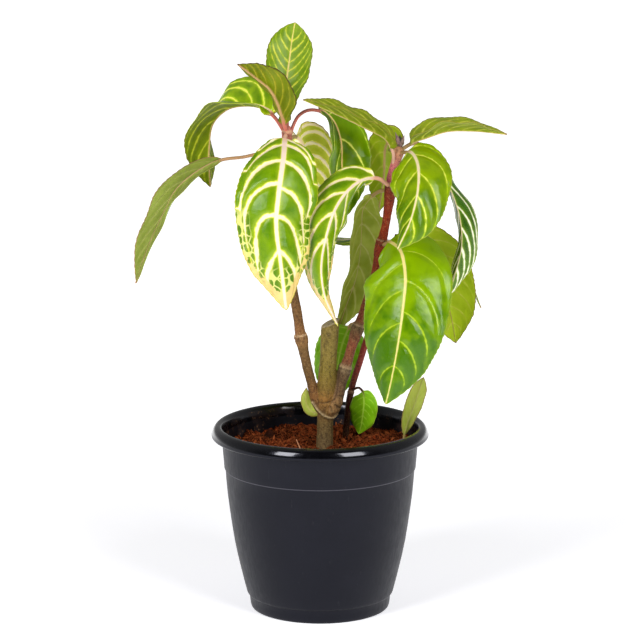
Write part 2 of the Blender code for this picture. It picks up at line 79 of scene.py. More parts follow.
# Height of the step, where a pale painted highlight runs round the pot
STEP_LINE = 105.6
SHARP_FROM = math.radians(42)

# The peat, in mm: its level and edge, (x, y, width) of its mound, hollow and dark clod, and (x, y, clearance)
# of the stems that stand in it
SOIL_TOP = 120.5
SOIL_EDGE = 69.2
SOIL_CELLS = 150
MOUND = (40, 22, 30)
HOLLOW = (-37, 8, 5)
CLOD = (-37, 30, 3.4)
STEM_FEET = ((3.4, 0, 6.2), (18.6, 24, 2.4))
SEED = 11
CRUMB_CORNERS = 12
CRUMB_STRETCH = ((0.9, 2.6), (0.5, 1.1), (0.4, 0.8))
STRAW = ((-17.4, -10.0, 128.6), (-15.6, -13.0, 125.2), (-14.2, -17.0, 122.8), (-12.6, -22.0, 121.0))
STRAW_RADIUS = 0.42

# The stage, in metres: the floor's reach, where the softboxes point, their places and sizes, how far the
# camera sees, and the width of its film in mm
FLOOR_REACH = 30
LIT_PLACE = (0, 0, 0.2)
SOFTBOXES = (
    ("softbox_left", (-1.0, -1.25, 1.05), (0.6, 0.9)), ("softbox_right", (0.95, -1.3, 1.05), (0.7, 0.9)),
)
SENSOR_WIDTH = 36
SEES_TO = 100

# Stems, (x, y, z, radius) in mm from the bottom up
STUMP = (
    (3.2, 0, 72, 6.8), (3.2, 0, 100, 6.6), (3.4, 0, 120, 6.3), (4.0, 0, 141, 6.0), (4.7, 0, 158, 7.0),
    (5.2, 0, 172, 6.7), (6.2, 0, 188, 6.1), (7.0, 0, 204, 6.6), (8.2, 0, 222, 6.3))
LEFT_BRANCH = (
    (4.0, 0, 147, 4.6), (-0.5, -0.6, 152, 4.4), (-3.6, -1, 158, 3.9), (-6.0, -1.5, 168, 3.5),
    (-9.0, -2, 180, 3.6), (-12.4, -2.8, 196, 3.9), (-13.6, -3, 202.5, 4.9), (-14.6, -3.2, 208, 4.0),
    (-17.0, -4, 224.5, 3.6), (-19.7, -4.5, 240, 3.4), (-22.5, -6, 284, 3.3), (-24.1, -7, 322, 3.3),
    (-24.2, -7.2, 335, 3.9), (-24.1, -7.5, 342, 3.3), (-23.8, -8, 354, 3.7), (-23.6, -8, 359, 3.3),
    (-23.5, -8, 361, 1.8))
RIGHT_BRANCH = (
    (5.0, 0, 144, 5.0), (10.0, -1.6, 152, 5.6), (13.2, -0.6, 161, 5.0), (15.6, 0.8, 170, 4.2),
    (18.2, 1.9, 178.5, 4.9), (20.2, 2.2, 185, 3.9), (24.0, 2.7, 198, 3.8), (27.6, 3, 209, 4.8),
    (30.0, 3.2, 215, 3.9), (34.0, 3.6, 227, 3.6), (42.0, 4.5, 257, 3.4), (44.6, 5, 272.5, 4.2),
    (46.4, 5, 279, 3.3), (49.4, 5, 296, 3.2), (51.6, 5, 314, 4.5), (53.0, 5, 322, 4.2), (55.6, 5, 334, 3.6),
    (57.6, 5, 342, 3.1), (58.0, 5, 343.6, 1.7))
THIN_STEM = (
    (17.6, 25, 84, 2.3), (18.4, 24.4, 110, 2.4), (19.4, 23.8, 128, 2.4), (22.4, 22, 155, 2.4),
    (31.8, 20, 188.5, 2.4), (41.2, 20, 221.5, 2.2), (50.6, 19, 255, 2.1), (54.4, 19, 269, 2.3),
    (57.0, 19, 276, 2.0))
STEMS = (("stump", STUMP), ("left", LEFT_BRANCH), ("right", RIGHT_BRANCH))
STUMP_CUT = ((7.6, 0, 214.6), (-0.40, -0.10, 0.91))
CUT_TONE = 0xB0A080

# Colours of the stems at heights in mm, and the heights of their nodes
STEM_TONES = {
    "stump": ((72, 0x5C482E), (126, 0x6C5636), (139, 0x786036), (150, 0x866030), (158, 0x986C32),
        (166, 0x806628), (178, 0x7E6C26), (196, 0x847232), (222, 0x826E34)),
    "left": ((147, 0x865E30), (160, 0x82562C), (176, 0x6A4C26), (196, 0x6C4E2A), (203, 0x966C40),
        (209, 0x80542E), (222, 0x74502A), (244, 0x704E2A), (300, 0x805E34), (340, 0xBE7062),
        (361, 0xCC7668)),
    "right": ((144, 0x966E42), (154, 0x9E7648), (162, 0x765638), (176, 0x70563A), (179.5, 0xB09670),
        (183, 0x885236), (196, 0x985236), (205, 0x7C4E32), (210, 0x705C3C), (216, 0x8A4226),
        (236, 0x8A3418), (262, 0x902A0A), (290, 0x9E2E0C), (312, 0x842C16), (317, 0xA04654),
        (328, 0xC86870), (343, 0xD4A070)),
    "thin": ((84, 0x280C06), (140, 0x300E08), (158, 0x5A2218), (180, 0xA03A30), (205, 0x962E22),
        (276, 0x78281C)),
}
STEM_NODES = {
    "stump": (), "left": (204.5, 337, 356), "right": (180, 211, 273.5, 315.5), "thin": (157, 270),
}

KNOBS = (  # lumps of the callus at the fork, knot under the cut, small buds at nodes: centre, radii
    ((9.2, -3.2, 153.0), (4.8, 4.4, 5.4)), ((8.6, -5.0, 149.0), (3.6, 3.2, 3.0)),
    ((12.2, -3.4, 156.6), (3.0, 3.4, 3.4)), ((10.6, -6.2, 153.6), (1.6, 1.6, 3.0)),
    ((6.6, -4.6, 206.5), (2.6, 2.9, 3.4)), ((31.4, 1.6, 211.5), (2.2, 1.8, 3.2)),
    ((-16.6, -3.6, 204.0), (2.4, 1.8, 2.6)),
)
# The clefts are sunk a little, and their dark lines are painted shade
CLEFTS = (  # dark lines between stump and right branch and across the callus, seen from the front: x, z
    ((14.4, 180), (13.2, 172), (12.6, 164.5), (9.8, 157.6), (4.0, 155.6), (-0.6, 155.4)),
    ((14.6, 160.6), (16.6, 159.8), (19.0, 157.4)),
    ((11.4, 154.6), (13.4, 152.4), (16.0, 150.2)),
    ((7.4, 152.8), (8.6, 150.2), (9.2, 147.4)),
)
SCAR = (
    (-5.4, -2.8, 155.4), (-1.4, -6.2, 149.6), (4.2, -7.2, 145.2), (9.6, -6.0, 143.8), (12.4, -4.2, 146.4),
)

BUD_BASE = (58.2, 4.8, 345.0)
BUD_LEAFLETS = (  # tip, half width, way that its back faces, colours of back and edge
    ((54.2, 2.6, 355.0), 1.9, (0.5, -0.8, 0.3), 0x967670, 0x6C4C54),
    ((61.4, 6.0, 352.0), 1.8, (-0.4, -0.8, 0.3), 0x927C68, 0x704E50),
    ((58.0, 7.6, 352.6), 1.5, (0.0, -0.9, 0.3), 0x3C4822, 0x323422),
)

# Ways that a leaf's back faces, and facets: points on a path, rows and columns for each cell of a blade, and
# a row of the stalk in mm
AWAY = (0.0, 1.0, 0.0)
DOWN_AWAY = (0.0, 0.8, -0.6)
UP = (0.0, 0.0, 1.0)
PATH_STEPS = 600
ROWS_PER_CELL = 1.15
COLUMNS_PER_CELL = 0.95
STALK_ROW = 1.6

# Blades: mm from tooth to tooth, where the turns of the halves are given, over which shares of its length a
# blade unfolds from its stalk, folds at its tip and is drawn out to a point, and mm of coloured margin
TOOTH = 4.3
TURNS_AT = (0.05, 0.5, 0.95)
FOLD_OVER = 0.03
TIP_OVER = 0.03
POINT_OVER = 0.2
POINT_POWER = 0.3
MARGIN_WIDTH = 0.45
EVEN_VEINS = (0.02, 0.12, 0.25, 0.39, 0.54, 0.69, 0.83)

# Leaves. half: half width in mm. left, right: how far each half swings away from the viewer, in degrees,
# near the base, in the middle and near the tip. stalk: share of the path that is stalk. face: 1 when the
# upper side faces the viewer, else -1. left_veins, right_veins: where side veins leave the midrib, as shares
# of the blade. arc, slope, reach, dive: how they sweep towards the tip. net: green islands near the margin.
# Widths in mm. path: midrib from the stem to the tip.
# bright scales a leaf's colours for how light falls on it: above 1 it is painted light on leaves in shade,
# below 1 painted shade
BASE_LEAF = dict(
    face=1, head=0.45, tail=0.62, away=AWAY, left_veins=EVEN_VEINS, right_veins=EVEN_VEINS, arc=0.3,
    reach=0.975, slope=0.2, dive=0.0, vein_width=1.0, midrib_width=2.0, quilt=0.5, net=0.0, bright=1.0,
    darker_tip=0.0, tip_from=1.2, stalk_radius=1.35, teeth=0.3, vein_at_edge=0.35, midrib_at_tip=0.4,
    stalk_tone=0xAC8E5C, border_width=0.5, upper="mid_green", under="olive")
LEAVES = {
    "leaf_left_front": dict(half=32, left=(20, 20, 22), right=(12, 38, 42), stalk=0.075, phase=0.4,
        left_veins=(-0.02, 0.07, 0.19, 0.325, 0.49, 0.68, 0.93),
        right_veins=(0.015, 0.075, 0.195, 0.35, 0.5, 0.68, 0.93), arc=0.38, reach=1.12, slope=0.0,
        dive=0.16, vein_width=2.9, midrib_width=3.3, quilt=1.3, net=1.0, tip_from=0.6, vein_at_edge=0.5,
        midrib_at_tip=0.6, stalk_tone=0xE2B496, border_width=0.55, upper="bold", under="olive_bold",
        path=((-23.9, -9, 356), (-25, -21, 353.6), (-26, -40, 343), (-29, -54, 322), (-31, -61, 298),
        (-28, -65, 272), (-24, -66, 237))),
    "leaf_mid_front": dict(head=0.55, tail=0.85, half=27, left=(52, 52, 62), right=(50, 68, 76),
        stalk=0.145, phase=1.1, left_veins=(-0.02, 0.12, 0.235, 0.37, 0.52),
        right_veins=(-0.06, 0.1, 0.22, 0.36, 0.51), reach=1.05, slope=0.14, dive=0.05, vein_width=2.3,
        midrib_width=2.6, quilt=1.1, net=0.9, tip_from=0.5, vein_at_edge=0.6, midrib_at_tip=0.6,
        stalk_tone=0xD8A082, border_width=0.55, upper="bold", under="olive_bold", path=((51.4, 3, 314),
        (41, -12, 323), (28, -27, 323), (19, -36, 317), (11, -44, 306), (5, -50, 289), (1, -53, 265),
        (3, -54, 247), (13, -55, 223))),
    "leaf_low_front": dict(head=0.34, tail=0.57, away=DOWN_AWAY, half=35, left=(38, 32, 34),
        right=(15, 12, 20), stalk=0.095, phase=2.0, left_veins=(0.235, 0.385, 0.56, 0.79),
        right_veins=(0.16, 0.335, 0.5, 0.655, 0.79), arc=0.4, slope=0.08, vein_width=0.75, midrib_width=2.4,
        quilt=0.9, darker_tip=0.7, vein_at_edge=0.0, midrib_at_tip=0.3, border_width=0.35, upper="fresh",
        path=((45, 3, 272.6), (51, -14, 277), (58, -29, 273), (61, -40, 260), (59, -52, 233),
        (54, -58, 200), (48, -60, 171), (47, -60, 167))),
    "leaf_right_front": dict(head=0.36, away=DOWN_AWAY, half=25.5, left=(22, 50, 55), right=(12, 24, 26),
        stalk=0.11, phase=0.9, left_veins=(0.0, 0.12, 0.31, 0.54, 0.72),
        right_veins=(-0.02, 0.12, 0.34, 0.54, 0.73), arc=0.26, slope=0.24, midrib_width=2.2, quilt=0.9,
        darker_tip=0.6, path=((57.2, 3.5, 340.5), (66, -12, 342), (70, -26, 336), (70, -40, 322),
        (65, -50, 301), (55, -55, 279))),
    "leaf_right_hanging": dict(half=21, left=(80, 85, 80), right=(80, 50, 40), stalk=0.275, phase=0.2,
        right_veins=(0.02, 0.18, 0.34, 0.5, 0.64, 0.78), arc=0.4, vein_width=1.8, vein_at_edge=0.6,
        upper="deep_white", path=((58, 5.4, 340.5), (69.5, 16, 344), (80, 20, 339), (88, 18, 327.5),
        (95, 12, 311), (101, 5, 294), (103, 0, 272), (98, -3, 250), (93, -4, 234))),
    "leaf_right_outer": dict(tail=0.8, half=20, left=(-115, -117, -114), right=(62, 68, 72), stalk=0.1,
        phase=1.7, slope=0.25, quilt=0.4, bright=1.2, tip_from=0.96, upper="dull_lime",
        path=((58, 4.8, 342.6), (67, 4, 348), (77, 6, 351), (92, 9, 355), (109, 11, 355), (136, 12, 352))),
    "leaf_left_top": dict(head=0.7, tail=0.5, half=18.5, left=(32, 28, 25), right=(22, 22, 25), stalk=0.2,
        phase=0.6, left_veins=(0.1, 0.22, 0.34, 0.44, 0.54, 0.66, 0.78),
        right_veins=(0.1, 0.22, 0.34, 0.44, 0.54, 0.66, 0.78), slope=0.22, vein_width=0.85,
        midrib_width=1.6, quilt=0.4, net=0.1, bright=0.86, stalk_tone=0xC47062, border_width=0.4,
        upper="lime", path=((-23.6, -7.4, 357.6), (-24, 2, 369), (-24, 8, 392), (-22, 12, 407),
        (-20, 14, 422), (-18, 14, 433))),
    "leaf_left_young": dict(face=-1, tail=0.75, half=16.5, left=(35, 30, 35), right=(75, 75, 72),
        stalk=0.12, phase=1.4, vein_width=1.4, quilt=0.35, bright=0.72, tip_from=0.95, stalk_tone=0xC47062,
        upper="lime", under="olive_tan", path=((-23.8, -8.6, 357), (-27, -15, 368), (-31, -18, 380),
        (-36, -20, 389), (-45, -22, 397), (-59, -24, 408))),
    "leaf_left_arch": dict(half=27, left=(15, 75, 113), right=(-93, -119, -163), stalk=0.16, phase=0.3,
        left_veins=(-0.02, 0.09, 0.2, 0.32, 0.46, 0.58, 0.7, 0.82), slope=0.25, vein_width=1.5,
        midrib_width=2.4, bright=1.6, tip_from=0.97, stalk_tone=0xC47062, border_width=0.6,
        under="olive_vein", path=((-24, -8, 355), (-31, 0, 365), (-39, 12, 370), (-54, 28, 371),
        (-69, 40, 366), (-79.5, 48, 354), (-82.5, 51, 334), (-81.5, 51, 306))),
    "leaf_left_low": dict(face=-1, half=19.5, left=(74, 52, 42), right=(-86, -86, -84), stalk=0.33,
        phase=2.2, slope=0.25, vein_width=1.3, quilt=0.3, stalk_tone=0xB08860, under="grey_green",
        path=((-24.2, -7.2, 334), (-38, 8, 337.5), (-56, 16, 333), (-72, 21, 330), (-90, 25.5, 320.5),
        (-105, 28.5, 307), (-114, 31, 290), (-124, 32, 269), (-136, 32, 237))),
    "leaf_right_inner": dict(half=17, left=(58, 64, 60), right=(-112, -116, -114), stalk=0.18, phase=0.8,
        slope=0.25, vein_width=1.1, quilt=0.4, stalk_tone=0xCEA088, upper="dull_lime", path=((54.6, 4, 331),
        (54, -2, 341), (48.5, -8, 351.5), (33, -14, 361), (12, -18, 371.5), (-12, -20, 382))),
    "leaf_left_inner": dict(half=23, left=(-75, -68, -65), right=(75, 15, 20), stalk=0.3, phase=1.9,
        left_veins=(0.12, 0.4, 0.68), right_veins=(0.1, 0.34, 0.6, 0.85), arc=0.32, vein_width=1.2,
        midrib_width=1.8, bright=1.5, stalk_tone=0xC47062, upper="deep", under="olive_vein",
        path=((-23, -7.4, 355.4), (-16, 0, 368), (-7, 9, 371), (3, 15, 368), (10, 20, 360), (15, 23, 346),
        (16, 25, 326), (19, 25, 288))),
    "leaf_left_rear": dict(face=-1, half=22, left=(80, 50, 40), right=(20, 12, 15), stalk=0.2, phase=0.1,
        arc=0.38, slope=0.1, vein_width=2.6, midrib_width=2.6, quilt=0.4, bright=1.5, vein_at_edge=0.8,
        upper="bold", under="olive_bold", path=((-23.6, -7.6, 349.5), (-18.5, 10, 351), (-13, 24, 343),
        (-10, 36, 326), (-7, 41, 307), (-4, 42, 289))),
    "leaf_right_rear": dict(face=-1, half=13.5, left=(10, 10, 15), right=(30, 30, 30), stalk=0.08,
        phase=2.5, slope=0.1, quilt=0.25, bright=0.7, upper="lime", under="pale_lime", path=((57, 5.4, 339),
        (52, 20, 347), (48, 34, 339), (47, 44, 316), (43, 46, 287))),
    "leaf_mid_hanging": dict(face=-1, half=20, left=(-70, -68, -60), right=(-10, -20, -30), stalk=0.16,
        phase=1.2, arc=0.35, slope=0.15, vein_width=1.2, quilt=0.35, darker_tip=0.15, under="grey_olive",
        path=((51, 6, 312), (44, 16, 310), (37, 24, 304), (31, 30, 294), (30, 34, 278), (29, 36, 258),
        (25, 37, 236), (21, 36, 225), (13, 34, 201))),
    "leaf_low_rear": dict(face=-1, half=25, left=(-20, -30, -30), right=(-10, -10, -15), stalk=0.15,
        phase=0.5, arc=0.35, slope=0.1, vein_width=0.9, quilt=0.3, bright=0.7, under="pale_lime",
        path=((56.8, 19.2, 275), (64.5, 25, 277), (72, 30.5, 273.5), (80, 35, 262), (88, 37.8, 243),
        (96, 38, 216), (101, 36, 191))),
    "leaf_behind_trunk": dict(half=19, left=(15, 15, 15), right=(10, 10, 10), stalk=0.28, phase=1.0,
        arc=0.35, slope=0.1, vein_width=0.8, midrib_width=1.4, upper="plain", path=((27.6, 3.6, 208),
        (24.5, 14, 209), (22, 24, 206), (18, 31, 196), (14, 36, 180), (11, 38, 161), (10, 38, 147))),
    "leaf_thin_tip": dict(half=12, left=(80, 75, 80), right=(-85, -85, -80), stalk=0.2, phase=0.7,
        quilt=0.2, under="grey_green", path=((54.4, 19.4, 268.5), (58, 31, 271), (73, 46, 274),
        (94, 56, 260), (110, 58, 236), (120, 57, 213))),
    "leaf_low_hidden": dict(face=-1, away=UP, half=14, left=(-6, -6, -8), right=(-6, -6, -8), stalk=0.35,
        phase=0.0, vein_width=1.1, quilt=0.2, under="grey_green", path=((44.6, 6, 271), (49, 18, 270.5),
        (51.5, 31, 270), (49, 45, 268), (38, 56, 266), (20, 60, 265), (0, 60, 264.5), (-24, 58.5, 257),
        (-43, 56.5, 244))),
    "leaf_small_front": dict(half=10.5, left=(10, 10, 20), right=(10, 5, 10), stalk=0.27, phase=0.3,
        vein_width=0.4, midrib_width=0.9, quilt=0.3, bright=1.9, stalk_radius=0.8, teeth=0.12,
        stalk_tone=0x603E2C, border_width=0.3, upper="plain", path=((22.4, 21.8, 156.5), (25, 19, 159.5),
        (28.5, 17.3, 161.3), (31.6, 17, 158.5), (32.6, 17.6, 151), (32, 19.4, 142), (31, 21.5, 134),
        (29, 25, 124))),
    "leaf_small_left": dict(half=4.5, left=(20, 20, 20), right=(20, 20, 20), stalk=0.12, phase=0.3,
        vein_width=0.3, midrib_width=0.8, quilt=0.1, bright=1.6, stalk_radius=0.8, teeth=0.1,
        border_width=0.3, upper="plain_pale", path=((2, 2, 146), (-7, 8, 146), (-10, 10, 151),
        (-10, 11, 163))),
    "leaf_small_rim": dict(face=-1, head=0.7, tail=0.5, half=6.8, left=(20, 20, 20), right=(10, 10, 10),
        stalk=0.2, phase=1.3, vein_width=0.2, midrib_width=0.5, quilt=0.15, bright=0.88, stalk_radius=0.8,
        teeth=0.1, border_width=0.3, upper="plain", under="plain_pale", path=((60.8, 8, 116), (62, 8, 126),
        (64.6, 8.4, 137), (69.6, 9, 151), (76.4, 10, 171))),
}

# Finishes of a blade: its colour, darker patches, veins, vein borders, tip, margin and midrib, and roughness
FINISHES = {
    "bold": (0x729600, 0x4A7800, 0xF0E2B8, 0xCCD23E, 0xE6C67C, 0xBEC028, 0xECD4C0, 0.17),
    "fresh": (0x7A9C02, 0x406C00, 0xA6BC28, 0x84A60A, 0x96B428, 0x8CA01E, 0xE2CE82, 0.16),
    "mid_green": (0x7C9602, 0x4A7000, 0xCED24A, 0x96B00E, 0x6E503C, 0x96A028, 0xE4D0A6, 0.18),
    "deep": (0x5E7C02, 0x406200, 0xC8CC5A, 0x789610, 0x8C9632, 0x828C3C, 0xCEB276, 0.18),
    "deep_white": (0x3A6808, 0x224E00, 0xEEEED0, 0x90AA38, 0x96A050, 0xA0AA5A, 0xE2CCA6, 0.26),
    "lime": (0x749400, 0x5C7E00, 0xCECE38, 0x92AE0E, 0x786432, 0x928C32, 0xE2CC78, 0.34),
    "dull_lime": (0x8A9814, 0x728406, 0xB8BA42, 0x96A21E, 0x68483C, 0x8C7832, 0xC4B85A, 0.36),
    "plain": (0x70A210, 0x589006, 0x88B032, 0x78A61A, 0x789628, 0x8CAA32, 0x96B83E, 0.34),
    "plain_pale": (0xA4AE48, 0x92A034, 0xAAB254, 0xA4AE4C, 0x96963C, 0x968246, 0xAEAC5C, 0.5),
    "olive": (0x7A880A, 0x607002, 0xA2A638, 0x86921A, 0x60403C, 0x785C2C, 0xC4A86E, 0.5),
    "olive_vein": (0x586802, 0x465600, 0x989C24, 0x6C7A08, 0x422A28, 0x503C24, 0xA4885A, 0.46),
    "olive_tan": (0x809000, 0x667400, 0xB0AC24, 0x8C9214, 0x603438, 0x5C363A, 0xC8A068, 0.46),
    # olive_bold and grey_olive are paler than these undersides' own colour: painted light where they lie in
    # shade
    "olive_bold": (0xBAC238, 0xA0AC1C, 0xF8E4BE, 0xD6D66A, 0xC8B878, 0x968250, 0xF0CEB0, 0.3),
    "grey_green": (0x8E9C42, 0x788630, 0x9AA250, 0x909A46, 0x6E603C, 0xBA866C, 0xBC9670, 0.55),
    "grey_olive": (0xB2BE50, 0x8C9C22, 0xC2C66C, 0xB2BA54, 0x8C964C, 0xA0A05A, 0xE2BA96, 0.46),
    "pale_lime": (0xB4CC1A, 0x9EBA08, 0xC8D242, 0xB8CC2A, 0xA0A43C, 0x92783C, 0xCEAC6C, 0.46),
}
TONES = ("Blade", "Dark", "Vein", "Border", "Tip", "Margin", "Midrib", "Stalk")
SIZES = ("Vein Width", "Vein At Edge", "Midrib Width", "Midrib At Tip", "Border Width", "Tip From", "Net",
         "Darker Tip")


def srgb(code):
    """A colour from its hexadecimal code, as Blender's linear numbers."""
    shares = ((code >> shift & 255) / 255 for shift in (16, 8, 0))
    return tuple(c / 12.92 if c <= 0.04045 else ((c + 0.055) / 1.055) ** 2.4 for c in shares)


# Settings that a user may change
def size_setting(name, about, default, least=0.0):
    return FloatProperty(name=name, description=about, default=default, min=least, unit="LENGTH")


def share_setting(name, about, default):
    return FloatProperty(name=name, description=about, default=default, min=0, max=1, subtype="FACTOR")


def colour_setting(name, about, code):
    return FloatVectorProperty(name=name, description=about, default=srgb(code), min=0, max=1,
                               subtype="COLOR")


def count_setting(name, about, default, least=0):
    return IntProperty(name=name, description=about, default=default, min=least)


class ZebraPotSettings(bpy.types.PropertyGroup):
    """Sizes and colours of the pot and what fills it."""

    steps: count_setting("Round steps", "Flat strips round the pot", 144, 48)
    plastic: colour_setting("Plastic", "Colour of the pot's plastic", 0x0D0D12)
    peat: colour_setting("Peat", "Colour of the dry peat", 0x6C280E)
    # Dark peat: partly the peat's own darker tone, partly painted shade for its hollows
    peat_dark_and_shade: colour_setting("Dark peat", "Colour in the hollows of the peat", 0x341105)
    crumbs: count_setting("Crumbs", "Loose crumbs that lie on the peat", 1800)
    fibres: count_setting("Fibres", "Loose fibres that lie on the peat", 1500)


class ZebraStemSettings(bpy.types.PropertyGroup):
    """Sizes of the bark."""

    voxel: size_setting("Bark grain", "Size of the bark's smallest facets", 0.6 * MM, 0.3 * MM)
    roughness: size_setting("Bark relief", "Height of the bark's bumps", 0.32 * MM)


class ZebraLeafSettings(bpy.types.PropertyGroup):
    """Sizes that all leaves share."""

    blade: size_setting("Blade", "Thickness of a blade near its midrib", 0.45 * MM, 0.2 * MM)
    cell: size_setting("Cell", "Size of a blade's smallest facets", 1.15 * MM, 0.5 * MM)


class ZebraStageSettings(bpy.types.PropertyGroup):
    """Camera and light."""

    lens: FloatProperty(name="Lens", description="Focal length of the camera", default=196.9, min=20,
                        subtype="DISTANCE_CAMERA")
    elevation: FloatProperty(name="Elevation", description="How far the camera looks down",
                             default=math.radians(11.9), subtype="ANGLE")
    distance: size_setting("Distance", "From the camera to the plant's axis", 2.56, 0.5)
    aim: size_setting("Aim", "Height that the camera looks at", 0.2162)
    sky: FloatProperty(name="Room", description="Strength of the room's white light", default=0.7, min=0)
    front: share_setting("Front", "Share of that light on the viewer's side", 0.06)
    ceiling: share_setting("Ceiling", "Share of that light overhead", 0.35)
    softbox: FloatProperty(name="Softboxes", description="Power of each softbox", default=20.0, min=0,
                           subtype="POWER")


# Shader nodes, put in place and linked up with one call each
def feed(tree, socket, value):
    """Links a wire to a socket, or sets the socket's own value."""
    if isinstance(value, Wire):
        tree.links.new(value.socket, socket)
    elif socket.type == "RGBA":
        socket.default_value = (*value[:3], 1.0)
    else:
        socket.default_value = value


def put(tree, kind, inputs=None, output=0, **settings):
    """Adds a node, feeds its inputs, named or numbered, and gives the wire from one output."""
    node = tree.nodes.new(kind)
    for name, value in settings.items():
        setattr(node, name, value)
    for key, value in (inputs or {}).items():
        feed(tree, node.inputs[key], value)
    return Wire(tree, node.outputs[output])


def wires(tree, sockets):
    return {socket.name: Wire(tree, socket) for socket in sockets}


class Wire:
    """What a node puts out. A sum with it adds the node that works it out."""

    def __init__(self, tree, socket):
        self.tree = tree
        self.socket = socket

    def maths(self, operation, *others, clamp=False):
        inputs = dict(enumerate((self, *others)))
        return put(self.tree, "ShaderNodeMath", inputs, operation=operation, use_clamp=clamp)

    def __add__(self, other):
        return self.maths("ADD", other)

    def __sub__(self, other):
        return self.maths("SUBTRACT", other)

    def __mul__(self, other):
        return self.maths("MULTIPLY", other)

    def ramp(self, low, high, to_low=0.0, to_high=1.0):
        """A soft step from one value to another."""
        inputs = {"Value": self, "From Min": low, "From Max": high, "To Min": to_low, "To Max": to_high}
        return put(self.tree, "ShaderNodeMapRange", inputs, "Result", interpolation_type="SMOOTHSTEP")

    def fade(self, low, high):
        return self.ramp(low, high, 1.0, 0.0)

    def vector(self, operation, *others, output=0):
        inputs = dict(enumerate((self, *others)))
        return put(self.tree, "ShaderNodeVectorMath", inputs, output, operation=operation)

    def axes(self):
        """The three numbers of a vector."""
        node = put(self.tree, "ShaderNodeSeparateXYZ", {0: self}).socket.node
        return [Wire(self.tree, socket) for socket in node.outputs]

    def squeezed(self, height):
        """A place whose height counts for less, which draws a pattern out upwards."""
        return put(self.tree, "ShaderNodeMapping", {"Vector": self, "Scale": (1.0, 1.0, height)})

    def grain(self, scale, detail=2.0, roughness=0.5):
        inputs = {"Vector": self, "Scale": scale, "Detail": detail, "Roughness": roughness}
        return put(self.tree, "ShaderNodeTexNoise", inputs, "Fac")

    def cells(self, scale, randomness=1.0, feature="F1", dimensions="3D"):
        inputs = {"Vector": self, "Scale": scale, "Randomness": randomness}
        return put(self.tree, "ShaderNodeTexVoronoi", inputs, "Distance", voronoi_dimensions=dimensions,
                   feature=feature)


def layered(tree, tone, *layers):
    """A colour with others laid over it, each by its own share."""
    for amount, over in layers:
        tone = put(tree, "ShaderNodeMix", {0: amount, 6: tone, 7: over}, 2, data_type="RGBA")
    return tone


def new_group(name, inputs, outputs):
    """A shader node group with named sockets, from the default value of each input and output."""
    group = bpy.data.node_groups.new(name, "ShaderNodeTree")
    for way, sockets in (("INPUT", inputs), ("OUTPUT", outputs)):
        for label, value in sockets.items():
            kind = "NodeSocketColor" if isinstance(value, tuple) else "NodeSocketFloat"
            group.interface.new_socket(label, in_out=way, socket_type=kind).default_value = value
    given = group.nodes.new("NodeGroupInput").outputs
    return group, wires(group, given), group.nodes.new("NodeGroupOutput").inputs


def new_material(name):
    """A material, its tree and the wire of places on the object."""
    made = bpy.data.materials.new(name)
    made.use_nodes = True
    return made, made.node_tree, put(made.node_tree, "ShaderNodeTexCoord", output="Object")


def finished(made, relief=None, **sockets):
    """Feeds the sockets of a material's shader. relief: height, and the distance that it stands for."""
    tree = made.node_tree
    shader = tree.nodes["Principled BSDF"]
    if relief:
        height, distance = relief
        inputs = {"Height": height, "Distance": distance, "Strength": 1.0}
        sockets["Normal"] = put(tree, "ShaderNodeBump", inputs, "Normal")
    for label, value in sockets.items():
        feed(tree, shader.inputs[label.replace("_", " ")], value)
    return made


# Shapes
def smooth_path(points, shares):
    """Points at these shares of the length of a smooth curve through the given points, and its length."""
    given = np.array(points, float)
    knots = np.concatenate([[0], np.cumsum(np.linalg.norm(np.diff(given[:, :3], axis=0), axis=1))])
    slopes = np.gradient(given, knots, axis=0)
    fine = np.linspace(0, knots[-1], PATH_STEPS)
    i = np.clip(np.searchsorted(knots, fine, side="right") - 1, 0, len(given) - 2)
    span = (knots[i + 1] - knots[i])[:, None]
    t = (fine - knots[i])[:, None] / span
    curve = ((2 * t**3 - 3 * t**2 + 1) * given[i] + (t**3 - 2 * t**2 + t) * span * slopes[i]
             + (3 * t**2 - 2 * t**3) * given[i + 1] + (t**3 - t**2) * span * slopes[i + 1])
    run = np.concatenate([[0], np.cumsum(np.linalg.norm(np.diff(curve[:, :3], axis=0), axis=1))])
    where = np.asarray(shares) * run[-1]
    return np.stack([np.interp(where, run, curve[:, k]) for k in range(given.shape[1])], axis=-1), run[-1]


def step(value, low, high):
    """A soft step from 0 to 1 as value goes from low to high."""
    t = np.clip((value - low) / (high - low), 0, 1)
    return t * t * (3 - 2 * t)


def hump(value, width):
    """1 where value is 0, falling off to nothing on both sides of it."""
    return np.exp(-((value / width) ** 2))


def unit(vectors):
    return vectors / np.maximum(np.linalg.norm(vectors, axis=-1, keepdims=True), 1e-12)


def read(items, name):
    """A value of three numbers of each item, such as the places of vertices."""
    values = np.empty(len(items) * 3, np.float32)
    items.foreach_get(name, values)
    return values.reshape(-1, 3)


def write(items, name, values):
    items.foreach_set(name, np.asarray(values, np.float32).ravel())


def mesh_of(bm, name):
    mesh = bpy.data.meshes.new(name)
    bm.to_mesh(mesh)
    bm.free()
    return mesh


def add_object(name, data):
    obj = bpy.data.objects.new(name, data)
    bpy.context.scene.collection.objects.link(obj)
    return obj


def evaluated(obj):
    """The mesh that an object's modifiers or bevel give."""
    graph = bpy.context.evaluated_depsgraph_get()
    return bpy.data.meshes.new_from_object(obj.evaluated_get(graph))


def keep_evaluated(obj):
    """Makes what the modifiers give the object's own mesh."""
    made = evaluated(obj)
    obj.modifiers.clear()
    obj.data = made


def mark_faces(bm, first, index):
    """Gives the faces from this one on a material."""
    bm.faces.ensure_lookup_table()
    for face in bm.faces[first:]:
        face.material_index = index


